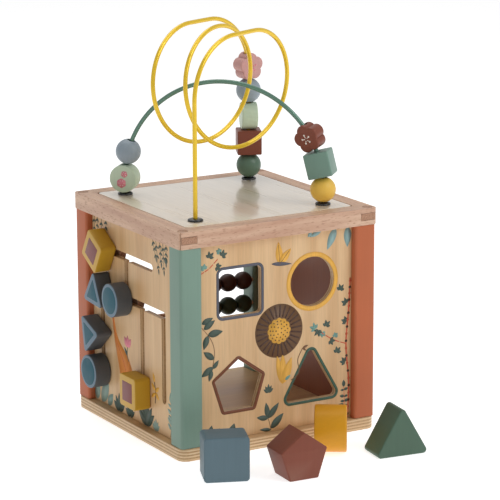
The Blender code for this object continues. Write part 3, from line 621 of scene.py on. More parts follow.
def eased_rail(side, grain, width):
    """A copy of a sawn rail with its doubles merged, its flat faces made whole and its edges eased."""
    node = f"top_rail_{side}"
    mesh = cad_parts[node].data.copy()
    form = bmesh.new()
    form.from_mesh(mesh)
    bmesh.ops.remove_doubles(form, verts=form.verts, dist=0.01 * MM)
    bmesh.ops.dissolve_limit(form, angle_limit=math.radians(1), verts=form.verts, edges=form.edges)
    form.to_mesh(mesh)
    form.free()
    obj = piece(f"beech_rail_{side}", mesh, finish(f"beech_along_{grain}"), "cube", "beech", node)
    eased = obj.modifiers.new("Eased edges", "BEVEL")
    eased.width = width
    eased.segments = 3
    eased.limit_method = "ANGLE"
    eased.angle_limit = math.radians(50)


class ACTIVITYCUBE_OT_boards(bpy.types.Operator):
    """Base, top rails with their corner plugs, and the inset top"""

    bl_idname = "activity_cube.boards"
    bl_label = "Base, rails and top"

    def execute(self, context):
        edge = sizes().wood_edge
        size = box_size("base_board")
        outline = rounded(box_corners((0, 0), size.x, size.y), 9 * MM, 12)
        base = grid_mesh("base_plywood", slab(outline, 0, size.z, edge))
        piece("base_plywood", base, finish("birch_ply_base"), "cube", "plywood", "base_board")
        for side, grain in (("front", "x"), ("back", "x"), ("left", "y"), ("right", "y")):
            eased_rail(side, grain, edge / 3)
        low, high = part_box("top_panel")
        middle = box_middle("top_panel")
        gap = 1.2 * MM
        outline = rounded(box_corners(middle[:2], high[0] - low[0] - gap, high[1] - low[1] - gap), 5 * MM)
        top = grid_mesh("inset_top", slab(outline, low[2], high[2], edge / 3))
        # The top's pale colour is painted reflection.
        piece("inset_top", top, finish("lacquered_birch_top_painted_reflection"), "cube", "plywood", "top_panel")
        for corner in CORNERS:
            node = f"corner_dowel_{corner}"
            low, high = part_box(node)
            outline = circle((0, 0), box_size(node).x / 2, 32)
            plug = grid_mesh(node, slab(outline, low[2], high[2] - 0.15 * MM, 0.4 * MM))
            place = Matrix.Translation((*box_middle(node)[:2], 0))
            wood = finish("beech_dark_plug")
            piece(f"corner_plug_{corner}", plug, wood, "cube", "dark_wood", node, matrix=place)
        return {"FINISHED"}


def post_section(at_front):
    """A post's section where X and Y are positive: a square with round corners and a groove for the panel at
    its side. A post at the front has one for the sorter panel as well."""
    low, high, deep = 77.5 * MM, 99 * MM, 83.5 * MM
    face = PANEL_FACE + 0.3 * MM
    behind = PANEL_FACE - PANEL_THICKNESS - 0.3 * MM
    outline = rounded(box_corners(((low + high) / 2,) * 2, high - low, high - low), 3 * MM)
    side = np.array([(behind, low), (behind, deep), (face, deep), (face, low)])
    first = len(outline) // 4
    parts = [outline[:first], side, outline[first:]] + [side[::-1, ::-1]] * at_front
    return np.concatenate(parts)


class ACTIVITYCUBE_OT_posts(bpy.types.Operator):
    """The four painted corner posts, grooved for the panels"""

    bl_idname = "activity_cube.posts"
    bl_label = "Corner posts"

    def execute(self, context):
        for corner, (x, y) in CORNERS.items():
            node = f"post_{corner}"
            low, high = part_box(node)
            section = post_section(y < 0) * (x, y)
            paint = "sage" if x * y > 0 else "terracotta"
            mesh = grid_mesh(node, lift([section] * 2, (low[2], high[2])))
            piece(f"painted_{node}", mesh, finish(f"{paint}_post_paint"), "cube", f"{paint}_paint", node)
        return {"FINISHED"}


class ACTIVITYCUBE_OT_panels(bpy.types.Operator):
    """Plywood for the three panels, which keep the frame's own shape"""

    bl_idname = "activity_cube.panels"
    bl_label = "Panels"

    def execute(self, context):
        # The right panel's plywood carries painted shade on its inner face.
        woods = {"sorter_panel": "front", "maze_panel": "side", "right_panel": "shaded_inside"}
        for node, wood in woods.items():
            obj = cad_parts[node]
            obj.data.materials.clear()
            obj.data.materials.append(finish(f"birch_ply_{wood}"))
        return {"FINISHED"}


# ---------------------------------------------------------------- prints, in millimetres

GROUND = 11.9                    # where the plants start, just over the base board's top


class Print:
    """Flat shapes on one side of the cube, in millimetres, gathered by ink and given the thickness of a film
    of ink."""

    def __init__(self, name, turn, distance, body="cube", matrix=None):
        self.name, self.body = name, body
        self.matrix = matrix or on_side(turn, distance)
        self.inks = {}
        self.patches = 0

    def patch(self, ink, points, faces, level=0):
        """Adds a patch of (n, 2) points at a level, counted in films of ink. Each patch lies a hair above the
        one before it, so that no two of them share a plane."""
        vertices, polygons = self.inks.setdefault(ink, ([], []))
        start = sum(map(len, vertices))
        self.patches += 1
        height = (0.5 + level + self.patches % 17 / 20) * sizes().print_height
        vertices.append(np.column_stack([points * MM, np.full(len(points), height)]))
        polygons += [[start + i for i in face] for face in faces]

    def shape(self, ink, outline, level=0):
        """A filled outline."""
        self.patch(ink, outline, [range(len(outline))], level)

    def band(self, ink, first, second, level=0, closed=False):
        """The strip between two lines with as many points each."""
        count = len(first)
        here = range(count if closed else count - 1)
        faces = [(i, (i + 1) % count, (i + 1) % count + count, i + count) for i in here]
        self.patch(ink, np.concatenate([second, first]), faces, level)

    def line(self, ink, points, width, level=0, taper=0.0):
        """A stroke of this width along points, thinner by taper at its end."""
        points = np.asarray(points, float)
        along = np.gradient(points, axis=0)
        along /= np.linalg.norm(along, axis=1, keepdims=True)
        aside = np.stack([-along[:, 1], along[:, 0]], axis=1)
        half = width / 2 * (1 - taper * np.linspace(0, 1, len(points)))[:, None]
        self.band(ink, points - aside * half, points + aside * half, level)

    def leaf(self, ink, root, angle, size, width, level=0, bend=0.0):
        """A leaf from its root: half its width is a sine over its length, drawn to the tip, and its rib bends
        off by a share of the square of the way along."""
        u = np.linspace(0, 1, 14)
        half = width / 2 * np.sin(math.pi * u ** 0.8) ** 0.9
        rib = np.stack([u * size, bend * size * u**2], axis=1)
        turn = np.array([ray(angle), ray(angle + math.pi / 2)])
        above = (rib + np.stack([0 * u, half], axis=1)) @ turn + root
        below = (rib - np.stack([0 * u, half], axis=1)) @ turn + root
        self.shape(ink, np.concatenate([below[:-1], above[::-1][:-1]]), level)

    def finish(self, slot):
        """Makes one piece for each ink, with every face up before the film gets its thickness."""
        for ink, (vertices, faces) in self.inks.items():
            mesh = bpy.data.meshes.new(self.name)
            mesh.from_pydata((np.concatenate(vertices)).tolist(), [], faces)
            facing_out = bmesh.new()
            facing_out.from_mesh(mesh)
            face_down = [face for face in facing_out.faces if face.normal.z < 0]
            bmesh.ops.reverse_faces(facing_out, faces=face_down)
            facing_out.to_mesh(mesh)
            facing_out.free()
            mesh.transform(self.matrix)
            obj = piece(f"{self.name}_{ink}", mesh, finish(f"ink_{ink}"), self.body, slot)
            film = obj.modifiers.new("Film of ink", "SOLIDIFY")
            film.thickness = sizes().print_height
            film.offset = 0


def curve(*points, steps=10):
    """A smooth line through the points: cubic between neighbours, each passed along its neighbours' chord."""
    points = np.asarray(points, float)
    padded = np.concatenate([2 * points[:1] - points[1:2], points, 2 * points[-1:] - points[-2:-1]])
    a, b, c, d = padded[:-3, None], padded[1:-2, None], padded[2:-1, None], padded[3:, None]
    t = (np.arange(steps) / steps)[None, :, None]
    spans = 0.5 * (2 * b + (c - a) * t + (2 * a - 5 * b + 4 * c - d) * t**2 + (3 * b - a - 3 * c + d) * t**3)
    return np.concatenate([spans.reshape(-1, 2), points[-1:]])


def sprig(made, stem_ink, leaf_ink, stem, leaf_size, leaf_width, pairs, spread=0.9):
    """A stem with pairs of leaves along it and one at its tip."""
    made.line(stem_ink, stem, 0.7, taper=0.4)
    along = np.gradient(stem, axis=0)
    for i, share in enumerate(np.linspace(0.25, 0.9, pairs)):
        at = int(share * (len(stem) - 1))
        angle = math.atan2(along[at, 1], along[at, 0])
        side = 1 if i % 2 else -1
        shrink = 1 - 0.3 * share
        size, width = leaf_size * shrink, leaf_width * shrink
        made.leaf(leaf_ink, stem[at], angle + side * spread, size, width, bend=0.1 * side)
        made.leaf(leaf_ink, stem[at], angle - side * spread * 1.2, 0.8 * size, 0.8 * width)
    angle = math.atan2(along[-1, 1], along[-1, 0])
    made.leaf(leaf_ink, stem[-1], angle, leaf_size, leaf_width)


def dashed(made, ink, points, width):
    """Short strokes along the points, four steps long, with a step left out between them."""
    for start in range(0, len(points) - 4, 5):
        made.line(ink, points[start : start + 5], width)


def palm(made, ink, root, size, width, count=5, spread=1.9, middle=math.pi / 2):
    """Leaves fanned out from one root."""
    for angle in middle + np.linspace(-spread / 2, spread / 2, count):
        made.leaf(ink, root, angle, size * (1 - 0.25 * abs(angle - middle)), width)


def clusters(made, places):
    """Small palms, each one given as its ink, its root, its size and the way that it looks."""
    for ink, x, z, size, angle in places:
        palm(made, ink, (x, z), size, 2.8, 4, 2.6, angle)


def butterfly(made, middle, lean, wing):
    """Two ochre wings with veins over a plain slate body."""
    x, z = middle
    made.leaf("violet_grey", (x - 8.5, z + 1.0), lean, 21, 3.6, 1)
    for angle, share in ((lean + 1.75, 1.0), (lean + 0.95, 0.85)):
        made.leaf("ochre", middle, angle, wing * share, wing * 0.36)
        tip = middle + 0.86 * wing * share * ray(angle)
        made.line("brown", np.linspace(middle, tip, 4), 0.45, 1)


class ACTIVITYCUBE_OT_front_print(bpy.types.Operator):
    """Borders round the sorter holes, with a sunflower and plants between them"""

    bl_idname = "activity_cube.front_print"
    bl_label = "Front print"

    def execute(self, context):
        made = Print("front_print", FRONT, PANEL_FACE)
        square, disc = (-36.5, 143.0), (36.9, 142.6)
        pentagon, triangle = (-38.5, 57.5), (35.9, 51.0)
        hole = rounded(box_corners(square, 42.4, 42.4), 4)
        made.band("violet_grey", inset(hole, -2.6), inset(hole, 0.02), closed=True)
        hole = circle(disc, 22.4)
        made.band("ochre", circle(disc, 26.6), hole, closed=True)
        hole = rounded(polygon(pentagon, 25.2, 5), 1, 4)
        made.band("red_brown", inset(hole, -2.9), hole, closed=True)
        hole = rounded(polygon(triangle, 33.2, 3), 4)
        made.band("forest", inset(hole, -2.6), hole, closed=True)
        self.sunflower(made, np.array((2.6, 102.4)))
        self.plants(made)
        butterfly(made, (3.5, 162.5), math.radians(-6), 20)
        made.finish("plywood")
        return {"FINISHED"}

    def sunflower(self, made, middle):
        """A round brown head with dark rays and a seeded ochre heart, over ochre stalk leaves."""
        made.shape("umber", circle(middle, 24.3, 80))
        for angle in np.arange(26) * TURN / 26 + 0.06:
            rays = np.linspace(middle + 12.5 * ray(angle), middle + 23 * ray(angle), 3)
            made.line("dark_brown", rays, 1.5, 1)
        made.shape("ochre", middle + flower(11.8, 10.6, 12), 2)
        for ring, count in ((3.1, 5), (6.2, 10), (8.9, 15)):
            for angle in np.arange(count) * TURN / count + ring:
                made.shape("dark_brown", circle(middle + ring * ray(angle), 0.65, 10), 3)
        foot = middle + np.array((3.5, -50))
        for angle, size, width in ((1.72, 27, 7.5), (1.50, 27.5, 7.5), (1.12, 25, 8.5)):
            made.leaf("ochre", foot + np.array((0, 1)), angle, size, width, bend=0.06)
        stem = curve(foot + np.array((9, 3)), foot + np.array((17, 9)), foot + np.array((16, 21)),
                     foot + np.array((21, 31)))
        made.line("brown", stem, 0.8)
        made.leaf("brown", stem[-1], 0.3, 6, 2.2)
        made.leaf("brown", stem[-1], -0.7, 5, 2)

    def plants(self, made):
        """Two dashed tendrils, a branch, tufts on the base, a vine up the right edge and leaves above."""
        dashed(made, "rust", curve((-76, 163), (-67, 167.5), (-58, 175.5)), 0.9)
        branch = curve((-65, 76), (-62.5, 92), (-66, 104), (-76, 117))
        clusters(made, (
            ("dark_green", -67, 177, 6.5, 1.2),
            ("dark_green", -54.5, 177, 6.5, 0.8),
            ("dark_green", -60, 168, 6, -0.3),
            ("teal", -72, 167.5, 5.5, 2.0),
            ("teal", -57, 180.5, 4.5, 2.2),
        ))
        made.line("brown", branch, 0.7, taper=0.3)
        for x, z, angle, size in (
            (-75, 119, 0.35, 12), (-73, 114, 0.55, 13), (-69, 108.5, 0.1, 15), (-69, 108, -1.9, 13),
            (-63, 86, 2.5, 13), (-64, 77.5, 0.9, 9), (-64, 79, 3.7, 14), (-65, 76, -1.9, 10),
        ):
            made.leaf("dark_green", np.array((x, z)), angle, size, size * 0.45)
        for x, size, angle in (
            (-73, 13, 1.9), (-69, 15, 1.35), (-58, 11, 1.6), (-48, 14, 1.2), (-44, 11, 1.75),
        ):
            made.leaf("dark_green", (x, GROUND), angle, size, 8)
        stalk = curve((-5.5, 13), (-7, 19), (-8.5, 24))
        made.line("brown", stalk, 0.6)
        for angle, size, width in ((1.72, 15, 5.4), (0.86, 17, 6), (2.95, 12, 5)):
            made.leaf("dark_green", stalk[-1], angle, size, width)
        made.leaf("dark_green", stalk[2], 0.75, 18, 7)
        made.leaf("dark_green", stalk[0], 3.0, 12, 3.4)
        palm(made, "dark_green", (-8.2, 47.5), 8, 2.8)
        palm(made, "teal", (9, 56.5), 9, 3, 6)
        dashed(made, "rust", curve((72, 81), (58, 87), (40, 99)), 0.9)
        clusters(made, (
            ("teal", 40, 99, 7, 2.3),
            ("dark_green", 43.5, 97, 7, -1.9),
            ("dark_green", 51.5, 100, 6.5, 1.2),
            ("teal", 47.5, 94, 5, -1.2),
            ("dark_green", 56, 86, 6, -0.6),
            ("teal", 61, 89, 4.5, 1.3),
        ))
        vine = curve((74.5, 12), (75.5, 45), (72.5, 80), (75, 112), (76.5, 141))
        made.line("rust", vine, 1.5)
        for i in range(1, len(vine) - 1, 2):
            made.shape("dark_brown" if i % 4 == 1 else "rust", circle(vine[i], 1.3, 12), 1)
        for x, z, angle in (
            (66, 131, 1.3), (63, 74, 1.3), (72.5, 118, 2.3), (72.5, 101, 2.3), (71.5, 64, 2.6),
        ):
            palm(made, "dark_green", (x, z), 6.5, 2.8, 4, 2.4, angle)
        berry = curve((69, 13), (71, 26), (70.5, 41))
        sprig(made, "rust", "dark_green", berry, 6.5, 3.6, 5, 1.2)
        for x, z, angle, size, width in (
            (46, 187.5, 3.5, 13, 4.6), (61, 188.2, 4.28, 21, 7.6), (73.5, 188.2, 4.7, 19, 7.6),
            (36, 187.5, 4.0, 6, 3.4),
        ):
            made.leaf("sky", np.array((x, z)), angle, size, width)


class ACTIVITYCUBE_OT_side_prints(bpy.types.Operator):
    """Tall leaf, tulip and plants round the slide maze, and plants on the right panel"""

    bl_idname = "activity_cube.side_prints"
    bl_label = "Side prints"

    def execute(self, context):
        made = Print("left_print", LEFT, PANEL_FACE)
        left = curve((-41, 108), (-41, 96), (-36, 74), (-28.5, 52), (-27, 40))
        right = curve((-39, 108), (-37, 96), (-30, 80), (-8.5, 63), (2, 40))
        made.band("orange", left, right)
        made.line("rust", (left[6:] + right[6:]) / 2, 0.7, 1, 0.6)
        tulip = np.array((-12, 76))
        for angle in (0.95, 1.57, 2.2):
            made.leaf("pink", tulip, angle, 11, 6)
        made.line("dark_green", curve(tulip, tulip + np.array((-1, -7)), tulip + np.array((2, -13))), 0.9)
        made.leaf("dark_green", tulip + np.array((-0.5, -8)), 2.3, 9, 3.2)
        made.line("dark_brown", curve((39, 37), (40, 46), (38, 57)), 1.2)
        for x, z, angle in (
            (39.5, 48, 0.6), (39.5, 47, -0.7), (39.5, 49, 2.5), (39.5, 46, 3.7), (38.3, 56, 1.9),
        ):
            made.leaf("ochre", (x, z), angle, 9, 3.6)
        for x, size, lean in ((37, 16, 6), (43, 26, 5), (50, 19, 3), (56, 25, 2), (62, 17, 0)):
            stem = curve((x, 188), (x + lean / 2, 187 - size / 2), (x + lean, 187 - size))
            sprig(made, "dark_green", "dark_green", stem, 5.6, 2.2, 3, 0.7)
        made.shape("dark_green", circle((61.5, 171), 2.9, 24))
        for x, size in ((-73, 22), (-67, 16), (-59, 24), (-50, 14)):
            stem = curve((x, 188), (x - 1, 187 - size / 2), (x, 187 - size))
            sprig(made, "dark_green", "dark_green", stem, 5.4, 2.2, 3, 0.7)
        for x, angle, size, width in ((-74, 1.45, 22, 11), (-64, 1.05, 27, 13), (-52, 0.9, 16, 9)):
            made.leaf("sage", (x, 12), angle, size, width)
        palm(made, "dark_green", (-30, 12), 17, 6, 5, 1.9)
        palm(made, "dark_green", (-9, 12), 14, 5, 5, 1.9)
        palm(made, "dark_green", (22, GROUND), 25, 7.5, 6, 1.7)
        palm(made, "sage", (40, GROUND), 11, 4, 5, 1.7)
        sprig(made, "dark_green", "sage", curve((67, 13), (69, 28), (68, 44)), 10, 5, 5)
        made.finish("plywood")
        self.right()
        return {"FINISHED"}

    def right(self):
        """Three tall sprigs with butterflies between them and tufts at both ends."""
        made = Print("right_print", RIGHT, PANEL_FACE)
        for x, top, lean in ((-46, 132, 0.08), (-4, 158, -0.05), (38, 120, 0.06)):
            stem = curve((x, 12), (x + 40 * lean, top / 2), (x + 90 * lean, top))
            sprig(made, "rust", "dark_green", stem, 22, 9, 6, 0.8)
        for x, z in ((-25, 150), (22, 140), (58, 160)):
            butterfly(made, (x, z), 0.2, 14)
        palm(made, "teal", (-66, 12), 24, 8, 5, 1.5)
        palm(made, "sky", (62, 12), 30, 9, 5, 1.4)
        made.finish("plywood")


# ---------------------------------------------------------------- slide maze

# Nearer the panel than this, the knob sides keep a darker colour as painted shade.
KNOB_FACE_LIMIT = -(PANEL_FACE + 15.9 * MM)   # X beyond which a knob's paint is that of its face
KNOB_BASE = 0.5 * MM             # gap to the panel, in front and behind
KNOB_THICKNESS = 15.7 * MM
KNOB_SQUARE = 29.2 * MM          # side
KNOB_TRIANGLE = 21.2 * MM        # from the middle to a corner
KNOB_ROUND = 15.3 * MM           # radius
KNOB_CORNER = 3 * MM
INLAY_CORNER = 0.8 * MM
PIN_RADIUS = 3.1 * MM
WASHER_BORE = 3.4 * MM


class ACTIVITYCUBE_OT_knobs(bpy.types.Operator):
    """Six slide knobs with lighter faces, painted shade on their sides and an inked inlay, their pins and the
    washers behind the panel
    """

    bl_idname = "activity_cube.knobs"
    bl_label = "Slide knobs"

    def execute(self, context):
        square = box_corners((0, 0), KNOB_SQUARE, KNOB_SQUARE)
        triangle = polygon((0, 0), KNOB_TRIANGLE, 3)
        disc = circle((0, 0), KNOB_ROUND)
        square = (rounded(square, KNOB_CORNER), rounded(square * 0.62, INLAY_CORNER))
        triangle = (rounded(triangle, KNOB_CORNER), rounded(triangle * 0.6, INLAY_CORNER))
        knobs = {
            "diamond": (square, -49.3, 158.8, -30, "ochre"),
            "upper_triangle": (triangle, -48.5, 120.5, -4, "slate"),
            "upper_round": ((disc, disc * 0.8), -15.4, 120.5, 0, "slate"),
            "lower_triangle": (triangle, -59.5, 79.5, 40, "slate"),
            "lower_round": ((disc, disc * 0.82), -59.5, 44.0, 0, "slate"),
            "square": (square, 16.5, 44.0, 0, "ochre"),
        }
        for name, ((outline, inlay), across, up, turn, paint) in knobs.items():
            body, slot = f"{name}_slider", "ochre_paint" if paint == "ochre" else "knob_paint"
            place = on_side(LEFT, PANEL_FACE) @ Matrix.Translation((across * MM, up * MM, 0))
            turned_place = place @ rotation(turn, "Z")
            self.knob(name, body, slot, outline, inlay, paint, turned_place)
            self.pin_and_washer(name, body, slot, place)
        return {"FINISHED"}

    def knob(self, name, body, slot, outline, inlay, paint, place):
        """The painted knob and the thick film of paint on its face."""
        top = KNOB_BASE + KNOB_THICKNESS
        solid = grid_mesh(name, slab(outline, KNOB_BASE, top, sizes().knob_edge))
        coat = finish(f"{paint}_knob_paint")
        piece(f"{name}_painted_knob", solid, coat, body, slot, f"{name}_knob", matrix=place)
        ink = finish("ink_knob_red" if paint == "ochre" else "ink_knob_teal")
        film = grid_mesh(name, slab(inlay, top - 0.1 * MM, top + 0.12 * MM, 0.05 * MM, 2))
        piece(f"{name}_knob_inlay", film, ink, body, slot, matrix=place)

    def pin_and_washer(self, name, body, slot, place):
        """The pin through the slot, and a turned washer with one rim rolled over."""
        # The pins and washers take a darker beech: painted shade.
        node, wood = f"{name}_retainer", finish("beech_turned_shaded")
        size = box_size(node)
        back, outer, rim = -PANEL_THICKNESS - KNOB_BASE, size.z / 2, 0.8 * MM
        low = back - size.x
        half_way = (KNOB_BASE + KNOB_THICKNESS) / 2
        pin = grid_mesh(name, slab(circle((0, 0), PIN_RADIUS, 32), low, half_way, 0.4 * MM))
        piece(f"{name}_pin", pin, wood, body, slot, matrix=place)
        bend = arc((outer - rim, low + rim), rim, 0, -math.pi / 2, 4)
        profile = np.concatenate([[(WASHER_BORE, back), (outer, back)], bend, [(WASHER_BORE, low)]])
        washer = grid_mesh(name, turned(profile), closed=True)
        piece(f"{name}_washer", washer, wood, body, "beech", node, matrix=place)


# ---------------------------------------------------------------- abacus

class ACTIVITYCUBE_OT_abacus(bpy.types.Operator):
    """Two rods of turned beads in the back"""

    bl_idname = "activity_cube.abacus"
    bl_label = "Abacus"

    def execute(self, context):
        for level, paint in (("lower", "green"), ("upper", "brown")):
            rod = f"abacus_rod_{level}"
            size = box_size(rod)
            place = Matrix.Translation(box_middle(rod)) @ rotation(90, "Y")
            solid = grid_mesh(rod, slab(circle((0, 0), size.z / 2, 24), -size.x / 2, size.x / 2, 0.3 * MM))
            piece(f"turned_{rod}", solid, finish("beech_along_x"), "cube", "beech", rod, matrix=place)
            for i in range(1, 5):
                node = f"abacus_bead_{level}_{i}"
                size = box_size(node)
                half, radius, bore = size.x / 2, size.z / 2, 2.6 * MM
                angle = np.linspace(-1, 1, 25) * math.acos(bore / radius * 1.25)
                reach = half * np.sin(angle) / math.sin(angle[-1])
                profile = np.stack([radius * np.cos(angle), reach], axis=1)
                profile = np.concatenate([[(bore, -half)], profile, [(bore, half)]])
                place = Matrix.Translation(box_middle(node)) @ rotation(90, "Y")
                bead = grid_mesh(node, turned(profile, 40), closed=True)
                # Near-black bead colours: painted shade on the abacus rows.
                piece(f"turned_{node}", bead, finish(f"dark_{paint}_bead_paint"), f"abacus_{level}_{i}",
                      f"{paint}_paint", node, matrix=place)
        return {"FINISHED"}


# ---------------------------------------------------------------- bead maze

def loop_directions():
    across = np.array((math.cos(LOOP_AZIMUTH), math.sin(LOOP_AZIMUTH), 0))
    return across, np.array((-across[1], across[0], 0))


def loop_path(centre):
    """Legs, quarter-circle bends and level runs at both ends, and full turns of an ellipse between them:
    (sine, cosine) of the angle turned through, across and up. All of it marches from one leg's upright plane
    to the other's with the length run, less a sine of that share, so that it starts and stops softly, and
    plus half a sine, so that the middle loops are a little ahead."""
    across, march = loop_directions()
    foot = np.array((WIRE_FOOT, WIRE_FOOT, 0))
    reach, shift = foot @ across, foot @ march
    run = reach - LOOP_HEIGHT
    turns = np.linspace(0, TURN * LOOP_TURNS, 97 * LOOP_TURNS)
    whole = 2 * run + LOOP_WIDTH * turns[-1]
    leg = np.linspace(WIRE_END, centre, 24)[:-1]
    level = np.linspace(0, run, 10)[1:-1]
    bend = arc((0, 0), LOOP_HEIGHT, math.pi, math.pi / 2, 32)
    up = [
        (np.full_like(leg, -reach), leg, 0 * leg),
        (bend[:, 0] - run, centre + bend[:, 1], 0 * bend[:, 0]),
        (level - run, np.full_like(level, centre + LOOP_HEIGHT), level),
    ]
    loops = [(LOOP_WIDTH * np.sin(turns), centre + LOOP_HEIGHT * np.cos(turns), run + LOOP_WIDTH * turns)]
    down = [(-x[::-1], z[::-1], whole - travelled[::-1]) for x, z, travelled in up[::-1]]
    x, z, travelled = (np.concatenate(part) for part in zip(*(up + loops + down)))
    share = travelled / whole
    eased = share - LOOP_EASE * np.sin(TURN * share) / TURN + LOOP_BULGE * np.sin(math.pi * share)
    path = x[:, None] * across + (shift * (2 * eased - 1))[:, None] * march
    return path + z[:, None] * np.array((0, 0, 1))


def arch_frame():
    """X from the left back foot to the right front one, Z up, origin in the arch's centre."""
    return Matrix.Translation((0, 0, ARCH_HEIGHT)) @ rotation(-45, "Z")


def arch_path():
    """Two straight feet and the half circle between them, in the upright plane through both."""
    radius = WIRE_FOOT * math.sqrt(2)
    foot = np.linspace(WIRE_END - ARCH_HEIGHT, 0, 8)[:-1]
    bend = arc((0, 0), radius, 0, math.pi, 120)
    x = np.concatenate([np.full_like(foot, radius), bend[:, 0], np.full_like(foot, -radius)])
    z = np.concatenate([foot, bend[:, 1], foot[::-1]])
    return np.stack([x, 0 * x, z], axis=1)


class ACTIVITYCUBE_OT_wires(bpy.types.Operator):
    """The two enamelled wires and the caps over their feet"""

    bl_idname = "activity_cube.wires"
    bl_label = "Wires and caps"

    def execute(self, context):
        _, march = loop_directions()
        mesh = grid_mesh("loops", tube(loop_path(LOOP_START), march, WIRE_RADIUS))
        piece("looped_wire", mesh, finish("yellow_enamel"), "cube", "yellow_enamel", "loop_wire")
        mesh = grid_mesh("arch", tube(arch_path(), np.array((0, 1.0, 0)), WIRE_RADIUS))
        place = arch_frame()
        piece("arched_wire", mesh, finish("green_enamel"), "cube", "green_enamel", "arch_wire", matrix=place)
        for corner, (x, y) in CORNERS.items():
            node = f"wire_cap_{corner}"
            low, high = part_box(node)
            outer, height, bore = box_size(node).x / 2, high[2] - low[2], 2.2 * MM
            angle = np.linspace(0, math.pi / 2, 9)
            drawn_in, risen = 3.2 * MM * (1 - np.cos(angle)), height * (0.35 + 0.65 * np.sin(angle))
            brow = np.stack([outer - drawn_in, risen], axis=1)
            mouth = [(bore + 0.5 * MM, height), (bore, height - 0.4 * MM)]
            profile = np.concatenate([[(bore, 0), (outer, 0)], brow, mouth])
            place = Matrix.Translation((x * WIRE_FOOT, y * WIRE_FOOT, low[2]))
            cap = grid_mesh(node, turned(profile, 48), closed=True)
            piece(f"moulded_{node}", cap, finish("black_abs"), "cube", "black_plastic", node, matrix=place)
        return {"FINISHED"}


def ball_mesh(radius):
    """A circle's arc turned about Z, from mouth to mouth of the bore, with the bore's rims eased."""
    mouth = math.acos((BORE + 0.3 * MM) / radius)
    flank = arc((0, 0), radius, mouth, -mouth, 40)
    height = flank[0, 1]
    rims = [(BORE, -height + 0.2 * MM), (BORE, height - 0.2 * MM)]
    return grid_mesh("ball", turned(np.concatenate([flank, rims])), closed=True)


def cube_mesh(side, edge):
    """A rounded cube: a rounded square carried up with rolled rims, drawn in to the bore on both ends."""
    outline = rounded(box_corners((0, 0), side, side), edge, 6)
    sides = slab(outline, -side / 2, side / 2, edge, 6)
    angle = np.arctan2(outline[:, 1], outline[:, 0])
    mouth = BORE * np.stack([np.cos(angle), np.sin(angle)], axis=1)
    ends = lift([mouth, mouth], (-side / 2, side / 2))
    return grid_mesh("cube", np.concatenate([ends[:1], sides, ends[1:]]), closed=True)


def flat_mesh(outline, thickness, edge):
    """An upright slab of this outline with rolled rims, bored through its own plane."""
    mesh = grid_mesh("flat", slab(outline, -thickness / 2, thickness / 2, edge, 5))
    mesh.transform(rotation(90, "X"))
    return drilled(mesh, BORE)


def bead_print(node, matrix, thickness, side):
    """A print on one face of a flat bead: side is 1 for its front face and -1 for its back."""
    name = f"{node}_print_{'back' if side < 0 else 'face'}"
    face = matrix @ rotation(90 * side, "X")
    return Print(name, 0, 0, f"{node}_body", face @ Matrix.Translation((0, 0, thickness / 2)))


